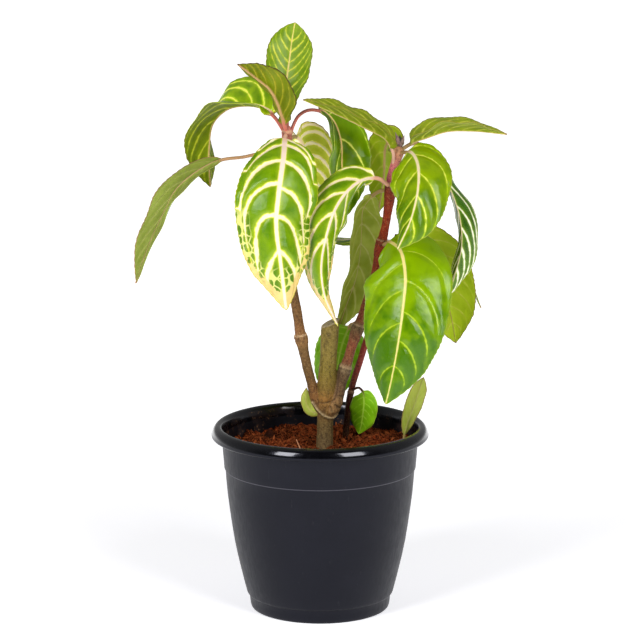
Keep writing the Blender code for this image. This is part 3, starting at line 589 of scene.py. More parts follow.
def rolled_grid(name, rings, uv_maps=None, materials=None):
    """A closed skin through rings of points in metres, [ring, place round it, xyz].

    uv_maps: name to values for each [ring, strip, corner of the strip (low, high), uv].
    materials: material index of each strip.
    """
    count, round_count = rings.shape[:2]
    bm = bmesh.new()
    bmesh.ops.create_grid(bm, x_segments=count - 1, y_segments=round_count, size=1)
    mesh = mesh_of(bm, name)
    flat = read(mesh.vertices, "co")
    i = np.rint((flat[:, 0] + 1) / 2 * (count - 1)).astype(int)
    j = np.rint((flat[:, 1] + 1) / 2 * round_count).astype(int)
    write(mesh.vertices, "co", rings[i, j % round_count])
    corner = np.empty(len(mesh.loops), int)
    mesh.loops.foreach_get("vertex_index", corner)
    strip = j[corner].reshape(-1, 4).min(axis=1).repeat(4)
    for label, values in (uv_maps or {}).items():
        write(mesh.uv_layers.new(name=label).uv, "vector", values[i[corner], strip, j[corner] - strip])
    if materials is not None:
        mesh.polygons.foreach_set("material_index", materials[strip[::4]].astype(np.int32))
    return closed(mesh)


def closed(mesh):
    """Merges the seam, fills both ends, turns the faces outwards and shades them smooth."""
    bm = bmesh.new()
    bm.from_mesh(mesh)
    bmesh.ops.remove_doubles(bm, verts=bm.verts, dist=1e-7)
    bmesh.ops.holes_fill(bm, edges=[edge for edge in bm.edges if edge.is_boundary], sides=0)
    bmesh.ops.recalc_face_normals(bm, faces=bm.faces)
    bm.to_mesh(mesh)
    bm.free()
    mesh.shade_smooth()
    return mesh


def add_piece(name, mesh, node, materials):
    """Shows a mesh as the piece that stands for a CAD node."""
    obj = add_object(name, mesh)
    for made in materials:
        mesh.materials.append(made)
    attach(obj, "root")
    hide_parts(node)
    return obj


def stem_rings(points, spacing=1.5, sides=28):
    """Rings of points in metres round a stem through (x, y, z, radius) points in mm."""
    _, whole = smooth_path(points, [0, 1])
    stations, _ = smooth_path(points, np.linspace(0, 1, max(8, int(whole / spacing))))
    along = unit(np.gradient(stations[:, :3], axis=0))
    side = unit(np.cross(along, np.where(np.abs(along[:, 2:3]) > 0.9, AWAY, UP)))
    for k in range(1, len(side)):
        side[k] = side[k - 1] - along[k] * (side[k - 1] @ along[k])
        side[k] /= np.linalg.norm(side[k])
    above = np.cross(along, side)
    turn = np.linspace(0, 2 * np.pi, sides, endpoint=False)[None, :, None]
    round_way = side[:, None] * np.cos(turn) + above[:, None] * np.sin(turn)
    return (stations[:, None, :3] + round_way * stations[:, None, 3:4]) * MM


# Leaves
def half_width(v, head, tail):
    """The blade's outline: 0 at both ends, 1 at its widest, drawn out to a point at the tip."""
    peak = head / (head + tail)
    v = np.clip(v, 0, 1)
    point = np.clip((1 - v) / POINT_OVER, 0, 1) ** POINT_POWER
    return (v / peak) ** head * ((1 - v) / (1 - peak)) ** tail * point


def vein_field(leaf, side, u, v, half, growth, length):
    """Veins passed on the way from the base, and the space between veins in mm, over the blade."""
    origins = np.array(leaf["left_veins" if side < 0 else "right_veins"])
    first, last = 1.5 * origins[0] - 0.5 * origins[1], 1.5 * origins[-1] - 0.5 * origins[-2]
    ends = np.array([first, *origins, last])
    counts = np.array([-0.5, *range(len(origins)), len(origins) - 0.5])
    turned = leaf["reach"] * u
    root = np.sqrt(np.clip(1 - turned**2, 0.04, 1))
    dive = leaf["slope"] + leaf["dive"] * step(v, 0.5, 0.72)
    ease = (0.2 + 0.8 * step(v, -0.1, 0.6)) * (1 - 0.5 * step(v, 0.7, 1.0))
    bent = ease * (leaf["arc"] * (1 - root) + dive * u)
    easing = np.gradient(bent, v[:, 0] + 1e-6 * np.arange(len(v)), axis=0)
    passed = v - bent
    sweep = ease * (leaf["arc"] * leaf["reach"] * turned / root * (turned < 0.98) + dive)
    phase = np.interp(passed, ends, counts)
    k = np.clip(np.searchsorted(ends, passed) - 1, 0, len(ends) - 2)
    rate = (counts[k + 1] - counts[k]) / (ends[k + 1] - ends[k])
    along = (1 - easing + sweep * u * growth / half) / length
    return phase, 1 / (rate * np.sqrt((sweep / half) ** 2 + along**2) + 1e-6)


class Blade:
    """Numbers of one leaf on a fine grid: v along the blade, u across it."""

    def __init__(self, name, cell):
        self.leaf = leaf = {**BASE_LEAF, **LEAVES[name]}
        stalk = leaf["stalk"]
        _, whole = smooth_path(leaf["path"], [0, 1])
        self.length = whole * (1 - stalk)
        v = np.linspace(0, 1, int(self.length / cell * MM * ROWS_PER_CELL))
        v = 0.85 * v + 0.15 * (0.5 - 0.5 * np.cos(np.pi * v))
        stalk_rows = max(6, int(whole * stalk / STALK_ROW))
        shares = np.concatenate([np.linspace(0, stalk, stalk_rows)[:-1], stalk + (1 - stalk) * v])
        self.v = np.concatenate([np.linspace(-1, 0, stalk_rows)[:-1], v])
        self.run = (shares - stalk) * whole
        self.rib, _ = smooth_path(leaf["path"], shares)
        self.along = unit(np.gradient(self.rib, axis=0))
        away = np.array(leaf["away"])
        self.back = unit(away - (self.along @ away)[:, None] * self.along)
        self.side_way = np.cross(self.along, self.back)
        self.columns = max(9, int(leaf["half"] * MM / cell * COLUMNS_PER_CELL))
        self.flatness = step(self.v, 0.0, 0.025)
        self.set_widths()
        left, right = (np.radians(np.interp(self.v, TURNS_AT, leaf[side])) for side in ("left", "right"))
        self.twist = (right - left) / 2
        fade = np.clip(self.v / FOLD_OVER, 0, 1) * np.clip((1 - self.v) / TIP_OVER, 0, 1)
        self.fold = (right + left) / 2 * fade

    def set_widths(self):
        v, leaf = self.v, self.leaf
        thinning = leaf["stalk_radius"] * (1 - 0.78 * np.clip(v, 0, 1) ** 0.8)
        self.rib_radius = thinning * (1 + 0.3 * (1 - step(v, -1.0, -0.85)))
        least = self.rib_radius * (1 - step(v, 0.93, 1.0)) + 0.12
        outline = half_width(v, leaf["head"], leaf["tail"])
        self.half = np.maximum(np.where(v < 0, 0, leaf["half"] * outline), least)
        places = np.clip(self.run, -1, None) / self.length + 1e-9 * np.arange(len(v))
        self.growth = np.clip(np.gradient(self.half, places), -400, 400)

    def side_frames(self, side):
        """Unit vectors out from the midrib and up from the upper face, for one half of the blade."""
        angle = (side * self.twist + self.fold)[:, None]
        out = side * self.side_way * np.cos(angle) + self.back * np.sin(angle)
        return out, -self.leaf["face"] * side * np.cross(out, self.along)

    def distances(self):
        """Places out from the midrib in mm, [row, column]: a few over the midrib, the rest past it."""
        over_rib = 5
        k = np.arange(self.columns + 1)
        rib_reach = np.minimum(1.3 * self.rib_radius, 0.5 * self.half)[:, None]
        past_rib = np.clip((k - over_rib) / (self.columns - over_rib), 0, 1) ** 0.9
        spread = rib_reach * np.clip(k / over_rib, 0, 1) + (self.half[:, None] - rib_reach) * past_rib
        rounded = self.half[:, None] * np.sin(np.pi / 2 * k / self.columns)
        flat = self.flatness[:, None]
        return spread * flat + rounded * (1 - flat), rib_reach

    def surface(self, side, thickness):
        """Upper and lower points of one half, and its UV values."""
        leaf, phase_at = self.leaf, self.leaf["phase"]
        out, up = self.side_frames(side)
        x, rib_reach = self.distances()
        of_rows = (self.run, self.half, self.rib_radius, self.flatness)
        run, half, radius, on_blade = (values[:, None] for values in of_rows)
        u = np.clip(x / half, 0, 1)
        v = np.clip(self.v, 0, 1)[:, None]
        phase, space = vein_field(leaf, side, u, v, half, self.growth[:, None], self.length)
        from_vein = np.abs(phase - np.rint(phase)) * space
        ripple = np.sin(6 * np.pi * v + phase_at + (side > 0) * 0.7)
        lift = half * (0.2 * u * (1 - u) + 0.05 * u * u * ripple)
        inside = step(u, 0.02, 0.25) * step(-u, -1.0, -0.8) * step(v, 0.0, 0.1) * step(-v, -1.0, -0.85)
        lift = lift + leaf["quilt"] * inside * (step(from_vein, 0.3, 4.0) - 0.4)
        lift = lift + 0.25 * step(u, 0.55, 1.0) * np.sin(run / 4.1 + 2 * phase_at + side)
        groove = 0.35 * leaf["midrib_width"] / 4 * (1 - step(x, 0.0, 1.4 * rib_reach))
        x = x + leaf["teeth"] * self.teeth(side)[:, None] * step(u, 0.9, 1.0) * on_blade
        rib_depth = 1.15 * radius * np.sqrt(np.clip(1 - (x / (1.15 * rib_reach)) ** 2, 0, 1))
        thin = thickness * (1 - 0.4 * u) + rib_depth
        round_up = np.sqrt(np.clip(1 - u**2, 0, 1))
        top = on_blade * (lift - groove) + (1 - on_blade) * 0.9 * radius * (round_up - 1)
        low = on_blade * (lift - groove - thin) - (1 - on_blade) * 0.9 * radius * (1 + round_up)
        middle = unit(up + self.side_frames(-side)[1])[:, None]
        past_rib = step(x, 0.0, rib_reach * 1.1)[..., None]
        lifted = unit(up[:, None] * past_rib + middle * (1 - past_rib))
        base = self.rib[:, None] + out[:, None] * x[..., None]
        uv = {
            "flat": np.stack([side * x, np.broadcast_to(run, x.shape)], axis=-1),
            "veins": np.stack([phase + 20, np.clip(space, 0, 60)], axis=-1),
            "edge": np.stack([(1 - u) * half, np.broadcast_to(v, x.shape)], axis=-1),
        }
        return base + lifted * top[..., None], base + lifted * low[..., None], uv

    def teeth(self, side):
        """The margin's small teeth, -1 to 1, which lean towards the tip."""
        turn = (self.run / TOOTH + 0.35 * np.sin(self.run / 11.0 + side + self.leaf["phase"])) % 1.0
        return np.where(turn < 0.7, turn / 0.7, (1 - turn) / 0.3) * 2 - 1

    def rings(self, thickness):
        """Rings of points in metres round the leaf, its UV values, and which strips are its under side."""
        left_top, left_low, left_uv = self.surface(-1, thickness)
        right_top, right_low, right_uv = self.surface(1, thickness)
        n = self.columns
        way_round = (left_top[:, :0:-1], right_top, right_low[:, ::-1], left_low[:, 1:])
        rings = np.concatenate(way_round, axis=1) * MM
        uv = {label: self.strip_values(left_uv[label], right_uv[label], n) for label in left_uv}
        materials = np.concatenate([np.zeros(2 * n), [0], np.ones(2 * n), [0]])
        return rings, uv, materials

    @staticmethod
    def strip_values(left, right, n):
        """Values at both corners of each strip, so that each half keeps its own at the midrib."""
        low = (left[:, n:0:-1], right[:, :n], right[:, n:], right[:, n:0:-1], left[:, :n], left[:, n:])
        high = (left[:, n - 1::-1], right[:, 1:], right[:, n:], right[:, n - 1::-1], left[:, 1:],
                left[:, n:])
        return np.stack([np.concatenate(low, axis=1), np.concatenate(high, axis=1)], axis=2)


def leaf_markings_group():
    """Colour, gloss and relief of a blade from its UV maps: veins with pale borders, patches, tip, margin."""
    grey = (0.5, 0.5, 0.5, 1.0)
    inputs = dict.fromkeys(TONES, grey) | dict.fromkeys((*SIZES, "Margin Width", "Gloss", "Seed"), 0.5)
    outputs = {"Color": grey, "Roughness": 0.5, "Height": 0.0}
    group, given, out = new_group("leaf_markings", inputs, outputs)
    flat, veins, edge = (put(group, "ShaderNodeUVMap", output="UV", uv_map=name)
                         for name in ("flat", "veins", "edge"))
    across, along, _ = flat.axes()
    phase, space, _ = veins.axes()
    inwards, v, _ = edge.axes()
    place = flat.vector("ADD", put(group, "ShaderNodeCombineXYZ", {"Z": given["Seed"]}))
    patches = place.grain(0.09)
    wobble = place.grain(0.28) - 0.5
    fine = place.grain(1.3, 3.0, 0.6)

    # Where the net of islands lies, and how far off the side veins and the midrib are, in mm
    net, border = given["Net"], given["Border Width"]
    netted = net * v.ramp(0.44, 0.52)
    band = netted * inwards.fade(5.0, 8.0)
    netted = (netted * inwards.fade(9.5, 12.5)).maths("MAXIMUM", net * v.ramp(0.76, 0.8))
    outer = inwards.ramp(1.0, 12.0, given["Vein At Edge"]) * band.ramp(0.0, 1.0, 1.0, 0.45)
    vein_half = given["Vein Width"] * 0.5 * (outer * patches.ramp(0.3, 0.7, 0.68, 1.22))
    rib_half = given["Midrib Width"] * 0.5 * v.ramp(0.0, 1.0, 1.0, given["Midrib At Tip"])
    to_vein = phase.maths("PINGPONG", 0.5) * space + wobble * 1.7
    past_vein = to_vein - vein_half + outer.fade(0.0, 0.5)
    past_rib = across.maths("ABSOLUTE") + wobble * 0.5 - rib_half
    nearest = past_vein.maths("SMOOTH_MIN", past_rib, 0.8)
    on_vein = nearest.fade(border * -0.35, border * 0.15)
    on_border = nearest.fade(border * 0.4, border * 1.6)
    on_rib = past_rib.fade(-0.2, 0.3)

    # Green islands in a pale outer band and towards the tip
    uneven = place.vector("ADD", put(group, "ShaderNodeCombineXYZ", {0: wobble * 1.8, 1: wobble * -1.4}))
    cells, seams = (uneven.cells(0.15, 0.7, kind, "2D") for kind in ("F1", "DISTANCE_TO_EDGE"))
    on_net = (cells - inwards.ramp(3.0, 8.0, 0.48, 0.56)).ramp(-0.03, 0.06)
    on_net = on_net.maths("MAXIMUM", seams.fade(0.04, 0.1)) * netted
    spared = cells.ramp(0.24, 0.34, 0.9, 0.0) * v.fade(0.8, 0.86) * net

    # The pale tip: it starts at the margin, and reaches the midrib at the very end
    towards_tip = v + inwards * -0.03 + wobble * 0.16
    on_tip = towards_tip.ramp(given["Tip From"], given["Tip From"] + 0.035) * (spared * -1.0 + 1.0)
    on_margin = inwards.fade(given["Margin Width"], given["Margin Width"] * 2.2)
    on_stalk = along.fade(-1.0, 7.0) * on_rib.maths("MAXIMUM", along.fade(-1.0, 1.0))

    # Darker towards the tip: painted shade on the lower parts of the blades; the patches and the islands are
    # the blade's own darker green
    shade = patches.ramp(0.25, 0.75) + given["Darker Tip"] * v.ramp(0.15, 0.85, -1.0, 1.0)
    shade = shade.maths("ADD", netted * 0.7, clamp=True)
    feed(group, out["Color"], layered(
        group, given["Blade"],
        (shade, given["Dark"]),
        (nearest.ramp(0.0, 3.5, 0.22, 0.0), given["Border"]),
        (fine.ramp(0.35, 0.75, 0.0, 0.08), given["Border"]),
        (on_border, given["Border"]),
        (on_net * 0.92, layered(group, given["Border"], (0.35, given["Vein"]))),
        (on_vein, given["Vein"]),
        (on_tip * 0.92, given["Tip"]),
        (on_rib, given["Midrib"]),
        (on_margin * 0.8, given["Margin"]),
        (on_stalk, given["Stalk"])))
    relief = place.cells(0.42, feature="SMOOTH_F1")
    feed(group, out["Height"], relief * -0.35 + fine * 0.25 - on_vein * 0.45)
    feed(group, out["Roughness"], given["Gloss"] + (fine - 0.5) * 0.22)


def leaf_material(name, leaf, finish, seed, under):
    """The upper skin of a blade, or its under skin, where the veins stand up and the colours are duller."""
    *tones, gloss = FINISHES[finish]
    values = {label: leaf[label.lower().replace(" ", "_")] for label in SIZES}
    # Colours scaled by bright: painted light and shade for each leaf
    values |= {label: [leaf["bright"] * part for part in srgb(tone)] for label, tone in zip(TONES, tones)}
    values |= {"Stalk": srgb(leaf["stalk_tone"]), "Gloss": gloss, "Seed": seed, "Margin Width": MARGIN_WIDTH}
    if under:
        values |= {"Net": 0.0, "Vein Width": 0.85 * values["Vein Width"],
                   "Midrib Width": 0.85 * values["Midrib Width"]}
    made, tree, _ = new_material(name)
    markings = put(tree, "ShaderNodeGroup", values, node_tree=bpy.data.node_groups["leaf_markings"])
    given = wires(tree, markings.socket.node.outputs)
    relief = (given["Height"], -0.5 * MM if under else 0.35 * MM)
    return finished(made, relief, Base_Color=given["Color"], Roughness=given["Roughness"],
                    Specular_IOR_Level=0.12 if under else 0.24, Subsurface_Weight=0.12,
                    Subsurface_Scale=0.9 * MM, Subsurface_Radius=(0.7, 1.0, 0.2))


class ZEBRA_OT_leaves(bpy.types.Operator):
    """Builds every leaf: its stalk, midrib and toothed, quilted blade, with its markings on both sides."""

    bl_idname = "zebra.leaves"
    bl_label = "Leaves"

    def execute(self, context):
        settings = context.scene.zebra_leaves
        leaf_markings_group()
        for k, name in enumerate(LEAVES):
            blade = Blade(name, settings.cell)
            mesh = rolled_grid(name + "_skin", *blade.rings(settings.blade / MM))
            skins = [leaf_material(f"{name}_{side}", blade.leaf, blade.leaf[side], 7.3 * k, side == "under")
                     for side in ("upper", "under")]
            add_piece(name + "_blade", mesh, name, skins)
        return {"FINISHED"}


# The pot
def cut_drains(obj):
    """Cuts the round drain holes through the floor."""
    bm = bmesh.new()
    for k in range(DRAIN_HOLES):
        turn = Matrix.Rotation(math.tau * (k + 0.5) / DRAIN_HOLES, 4, "Z")
        place = turn @ Matrix.Translation((DRAIN_CIRCLE * MM, 0, FLOOR_TOP * MM))
        radius = DRAIN_RADIUS * MM
        bmesh.ops.create_cone(bm, cap_ends=True, segments=32, radius1=radius, radius2=radius,
                              depth=4 * FLOOR_TOP * MM, matrix=place)
    cutter = add_object("drain_cutter", mesh_of(bm, "drain_cutter"))
    made = obj.modifiers.new("drains", "BOOLEAN")
    made.operation = "DIFFERENCE"
    made.solver = "EXACT"
    made.object = cutter
    keep_evaluated(obj)
    bpy.data.objects.remove(cutter)


def pot_material(plastic):
    """Satin black plastic with a glossy lip painted darker as shade, a pale painted highlight along the step,
    faint scuffs, and dust of peat on the inner wall.
    """
    made, tree, place = new_material("black_plastic")
    x, y, z = place.axes()
    flat = put(tree, "ShaderNodeCombineXYZ", {"X": x, "Y": y})
    lip = z.ramp((LIP_FROM - 0.6) * MM, (LIP_FROM + 0.6) * MM)
    scuffs = place.squeezed(0.25).grain(420.0, 4.0, 0.65)
    inwards = flat.vector("LENGTH", output="Value") + z * -0.075
    inner = inwards.fade(61.6 * MM, 61.9 * MM) * z.ramp(0.105, 0.112)
    dusty = inner * place.grain(62.0, 4.0, 0.6).ramp(0.46, 0.62)
    dots = dusty * place.cells(420.0).ramp(0.34, 0.22)
    # A pale line along the step: painted highlight where the step catches light from above
    painted_step_highlight = (z - STEP_LINE * MM).maths("ABSOLUTE").ramp(0.2 * MM, 0.6 * MM, 0.28, 0.0)
    tone = layered(
        tree, plastic,
        (place.grain(40.0, 3.0).ramp(0.3, 0.7), [0.72 * part for part in plastic]),
        (scuffs.ramp(0.6, 0.8) * 0.05, srgb(0x78767A)),
        (painted_step_highlight, srgb(0x7E7C88)),
        (dusty * 0.35, srgb(0x4A3228)),
        (dots, srgb(0x78583C)),
        # The lip painted darker than the wall of the same plastic: painted shade for the dark room that it
        # reflects
        (lip * 0.6, (0.0, 0.0, 0.0)))
    satin, glossy = scuffs.ramp(0.3, 0.7, 0.36, 0.48), scuffs.ramp(0.3, 0.7, 0.13, 0.2)
    sheen = put(tree, "ShaderNodeMix", {0: lip, 2: satin, 3: glossy}, data_type="FLOAT")
    coated = z.ramp((LIP_FROM + 2.6) * MM, (LIP_FROM + 4.6) * MM, 0.0, 0.7)
    return finished(made, (scuffs + dots * 2.0, 0.05 * MM), Base_Color=tone, Roughness=sheen + dusty * 0.3,
                    Specular_IOR_Level=0.25, Specular_Tint=(0.76, 0.79, 1.0), Coat_Weight=coated,
                    Coat_Roughness=0.1)


class ZEBRA_OT_pot(bpy.types.Operator):
    """Spins the thin-walled pot with its rolled lip, step line and foot, and cuts its drain holes."""

    bl_idname = "zebra.pot"
    bl_label = "Pot"

    def execute(self, context):
        settings = context.scene.zebra_pot
        bm = bmesh.new()
        profile = [(0, FLOOR_TOP), *POT_INSIDE, *POT_OUTSIDE, (0, FLOOR_UNDER)]
        corners = [bm.verts.new((radius * MM, 0, height * MM)) for radius, height in profile]
        edges = [bm.edges.new(pair) for pair in zip(corners, corners[1:])]
        bmesh.ops.spin(bm, geom=corners + edges, cent=(0, 0, 0), axis=UP, angle=math.tau,
                       steps=settings.steps, use_merge=True)
        bmesh.ops.remove_doubles(bm, verts=bm.verts, dist=0.01 * MM)
        bmesh.ops.recalc_face_normals(bm, faces=bm.faces)
        obj = add_piece("pot_moulded", mesh_of(bm, "pot_moulded"), "pot", ())
        cut_drains(obj)
        obj.data.materials.append(pot_material(settings.plastic[:]))
        obj.data.shade_smooth()
        obj.data.set_sharp_from_angle(angle=SHARP_FROM)
        return {"FINISHED"}


# The peat
def bell(x, y, spot, power=2):
    """1 at a spot (x, y, width in mm), falling off to nothing round it."""
    return math.exp(-((math.hypot(x - spot[0] * MM, y - spot[1] * MM) / (spot[2] * MM)) ** power))


def soil_height(x, y):
    """How far the peat stands above its level line here, in metres: its own shape, lumps and pits."""
    shape = 3.2 * bell(x, y, MOUND) - 5 * bell(x, y, HOLLOW) + 5 * bell(x, y, CLOD, 4)
    shape += 2.6 * noise.noise(Vector((x, y, 0)) * 55) + 1.56 * noise.noise(Vector((x, y, 1)) * 130)
    point = Vector((x, y, 0.3))
    shape += 3.2 * noise.noise(point * 200) + 1.7 * noise.noise(point * 520)
    return (shape + 0.9 * abs(noise.noise(point * 1100)) - 0.6) * MM


def on_peat(x, y, above=0.0):
    return SOIL_TOP * MM + soil_height(x, y) + above


def peat_body(bm, edge):
    """The filled block: a fine disc on top, and sides that follow the pot's inner wall."""
    bmesh.ops.create_grid(bm, x_segments=SOIL_CELLS, y_segments=SOIL_CELLS, size=1)
    for vert in bm.verts:
        a, b = vert.co.x, vert.co.y
        x, y = a * math.sqrt(1 - b * b / 2) * edge, b * math.sqrt(1 - a * a / 2) * edge
        vert.co = (x, y, on_peat(x, y))
    rim = [e for e in bm.edges if e.is_boundary]
    walls = [(radius, height) for radius, height in POT_INSIDE if height < SOIL_TOP - 8]
    for radius, height in reversed(walls):
        made = bmesh.ops.extrude_edge_only(bm, edges=rim)["geom"]
        rim = [e for e in made if isinstance(e, bmesh.types.BMEdge) and e.is_boundary]
        for vert in {vert for e in rim for vert in e.verts}:
            flat = Vector((vert.co.x, vert.co.y)).normalized() * (radius - 0.3) * MM
            vert.co = (flat.x, flat.y, max(height, FLOOR_TOP + 0.3) * MM)
    bmesh.ops.holes_fill(bm, edges=rim, sides=0)
    bmesh.ops.recalc_face_normals(bm, faces=bm.faces)


def free_place(random, edge):
    """A random place on the peat, clear of the stems."""
    while True:
        angle, reach = random.uniform(0, math.tau), edge * math.sqrt(random.uniform(0, 1)) * 0.985
        x, y = reach * math.cos(angle), reach * math.sin(angle)
        if all(math.hypot(x - foot[0] * MM, y - foot[1] * MM) > foot[2] * MM for foot in STEM_FEET):
            return x, y


def add_crumbs(bm, count, edge, random):
    """Loose crumbs, each a small uneven ball, sunk a little in the peat."""
    for _ in range(count):
        x, y = free_place(random, edge)
        size = MM * (0.4 + 1.5 * random.uniform(0, 1) ** 3)
        place = Matrix.Translation((x, y, on_peat(x, y, size * random.uniform(-0.1, 0.6))))
        turn = Matrix.Rotation(random.uniform(0, math.tau), 4, Vector(random.normal(size=3)).normalized())
        stretch = Matrix.Diagonal([random.uniform(*span) for span in CRUMB_STRETCH] + [1])
        made = bmesh.ops.create_icosphere(bm, subdivisions=1, radius=size, matrix=place @ turn @ stretch)
        for vert in made["verts"]:
            vert.co += Vector(random.normal(size=3)) * size * 0.14


def round_curve(name, resolution):
    """An empty curve whose splines are round and closed at both ends, each point as thick as its radius."""
    curve = bpy.data.curves.new(name, "CURVE")
    curve.dimensions = "3D"
    curve.bevel_depth = 1.0
    curve.bevel_resolution = resolution
    curve.use_fill_caps = True
    return curve


def add_spline(curve, count):
    spline = curve.splines.new("POLY")
    spline.points.add(count - 1)
    return spline.points


def curve_mesh(curve):
    """The mesh that a curve's bevel makes."""
    holder = add_object("curve_holder", curve)
    mesh = evaluated(holder)
    bpy.data.objects.remove(holder)
    return mesh


def fibre_mesh(count, edge, random):
    """Loose fibres: thin bent round hairs of coir."""
    curve = round_curve("fibres", 0)
    for _ in range(count):
        x, y = free_place(random, edge * 0.97)
        z = on_peat(x, y)
        heading, length = random.uniform(0, math.tau), MM * random.uniform(3, 13)
        bend, rise = random.uniform(-1.2, 1.2), random.uniform(-0.05, 0.45)
        for k, point in enumerate(add_spline(curve, 5)):
            share = k / 4 - 0.5
            turn = heading + bend * share
            px, py = x + math.cos(turn) * share * length, y + math.sin(turn) * share * length
            inside = min(1.0, (edge - 0.5 * MM) / max(math.hypot(px, py), 1e-6))
            px, py = px * inside, py * inside
            pz = on_peat(px, py, 0.25 * MM)
            arch = rise * length * (0.25 - share * share)
            point.co = (px, py, max(pz, z * 0.3 + pz * 0.7) + arch, 1)
            point.radius = MM * random.uniform(0.1, 0.26)
    return curve_mesh(curve)


def straw_mesh():
    """The pale straw that leans on the peat."""
    curve = round_curve("straw", 1)
    for point, place in zip(add_spline(curve, len(STRAW)), STRAW):
        point.co = (*(Vector(place) * MM), 1)
        point.radius = STRAW_RADIUS * MM
    return curve_mesh(curve)


def peat_material(dry, dark):
    """Red-brown peat with dark patches and near-black specks, painted shade for its hollows and gaps over its
    own darker tone, crumbs of several browns and one dark clod.
    """
    made, tree, place = new_material("peat")
    tint = put(tree, "ShaderNodeAttribute", output="Fac", attribute_name="tint")
    lumps = place.grain(240.0, 4.0, 0.6)
    fine = place.grain(900.0, 3.0, 0.6)
    level = place.vector("MULTIPLY", (1, 1, 0))
    clod = (CLOD[0] * MM, CLOD[1] * MM, 0)
    from_clod = level.vector("DISTANCE", clod, output="Value") + lumps * (3 * MM)
    # The dark ground colour and the large dark patches: painted shade of the hollows, partly the peat's own
    # darker tone
    tone = layered(
        tree, dark,
        (lumps.ramp(0.44, 0.58), dry),
        (place.grain(70.0, 3.0, 0.6).ramp(0.56, 0.44, 0.0, 0.9), dark),
        (fine.ramp(0.52, 0.7, 0.0, 0.7), srgb(0xB05A2C)),
        # Near-black specks: painted shade in the gaps between crumbs
        (fine.ramp(0.48, 0.32, 0.0, 0.85), srgb(0x140702)),
        (tint * 0.65, srgb(0xB46034)),
        (from_clod.ramp(6 * MM, 8 * MM, 0.88, 0.0), srgb(0x1E100C)))
    return finished(made, (fine, 0.4 * MM), Base_Color=tone, Roughness=0.95, Specular_IOR_Level=0.06)


def straw_material():
    made, tree, place = new_material("straw")
    tone = layered(tree, srgb(0xCE966E), (place.grain(500.0), srgb(0xA86846)))
    return finished(made, Base_Color=tone, Roughness=0.6)


class ZEBRA_OT_soil(bpy.types.Operator):
    """Fills the pot with crumbly peat, and scatters crumbs, fibres and a straw on it."""

    bl_idname = "zebra.soil"
    bl_label = "Peat"

    def execute(self, context):
        settings = context.scene.zebra_pot
        random = np.random.default_rng(SEED)
        edge = SOIL_EDGE * MM
        bm = bmesh.new()
        peat_body(bm, edge)
        body = len(bm.verts)
        add_crumbs(bm, settings.crumbs, edge, random)
        crumbs = len(bm.verts)
        bm.from_mesh(fibre_mesh(settings.fibres, edge, random))
        fibres = len(bm.verts)
        before = len(bm.faces)
        bm.from_mesh(straw_mesh())
        mark_faces(bm, before, 1)
        mesh = mesh_of(bm, "soil_peat")
        mesh.shade_smooth()
        tints = np.zeros(len(mesh.vertices), np.float32)
        for k in range(settings.crumbs):
            first = body + CRUMB_CORNERS * k
            tints[first:first + CRUMB_CORNERS] = random.uniform(0, 1) ** 2
        tints[crumbs:fibres] = 0.55
        write(mesh.attributes.new("tint", "FLOAT", "POINT").data, "value", tints)
        peat = peat_material(settings.peat[:], settings.peat_dark_and_shade[:])
        add_piece("soil_peat", mesh, "soil", (peat, straw_material()))
        return {"FINISHED"}


# Trunk, branches and thin stem
def nearest_on(points, stem):
    """Distance in mm from each point to a stem's skin, and the height of the nearest place on its axis."""
    stations, _ = smooth_path(stem, np.linspace(0, 1, 160))
    gap = np.linalg.norm(points[:, None] - stations[None, :, :3], axis=2) - stations[None, :, 3]
    return gap.min(axis=1), stations[gap.argmin(axis=1), 2]


def bark_relief(points, heights, nodes, relief, bare):
    """How far the bark stands out at each point, in metres: grain, wrinkles and rings at the nodes."""
    out = np.empty(len(points))
    for k, (x, y, z) in enumerate(points):
        long_grain = noise.noise(Vector((x * 0.42, y * 0.42, z * 0.09)))
        bumps = noise.noise(Vector((x, y, z)) * 0.75)
        pits = noise.noise(Vector((x, y, z)) * 1.9)
        out[k] = relief * (0.8 * long_grain + 0.6 * bumps + 0.35 * pits)
    for height in nodes:
        out += (0.42 * hump(heights - height, 0.9) - 0.30 * hump(heights - height - 2.4, 0.9)) * MM * bare
    return out


def bark_material(name, roughness, speckle):
    """Bark from its painted tones, with pale lenticels, dark grain and fine cracks."""
    made, tree, place = new_material(name)
    tone = put(tree, "ShaderNodeAttribute", output="Color", attribute_name="bark_tone")
    streaks = place.squeezed(0.3).grain(420.0, 4.0, 0.6)
    fine = place.grain(1500.0, 3.0, 0.6)
    specks = place.grain(560.0, 3.0, 0.65)
    on_dot = place.cells(640.0).ramp(0.34, 0.16) * place.grain(120.0, 3.0).ramp(0.38, 0.6)
    dark = layered(tree, tone, (0.62, (0.02, 0.012, 0.008)))
    pale = layered(tree, tone, (0.36, (0.5, 0.37, 0.14)))
    mottled = layered(
        tree, tone,
        (streaks.ramp(0.52, 0.3, 0.0, 0.9), dark),
        (specks.ramp(0.47, 0.36, 0.0, 0.9), dark),
        (specks.ramp(0.56, 0.68, 0.0, 0.6), pale),
        (fine.ramp(0.46, 0.3, 0.0, 0.85), dark),
        (fine.ramp(0.54, 0.7, 0.0, 0.5), pale),
        (on_dot * speckle, pale))
    dull = streaks.ramp(0.3, 0.7, roughness + 0.12, roughness - 0.08)
    return finished(made, (streaks + fine * 0.35 + on_dot * 0.8, 0.3 * MM), Base_Color=mottled,
                    Roughness=dull, Specular_IOR_Level=0.2)


def paint_bark(mesh, tones):
    layer = mesh.attributes.new("bark_tone", "FLOAT_COLOR", "POINT")
    write(layer.data, "color", np.column_stack([tones, np.ones(len(tones))]))


def push_out(mesh, amounts):
    """Moves each vertex out along its normal."""
    normals = read(mesh.vertex_normals, "vector").astype(float)
    write(mesh.vertices, "co", read(mesh.vertices, "co").astype(float) + normals * amounts[:, None])
    mesh.update()


def blend(tones, amounts, code):
    """Takes each tone towards a colour by its own amount."""
    tones += amounts[:, None] * (np.array(srgb(code)) - tones)


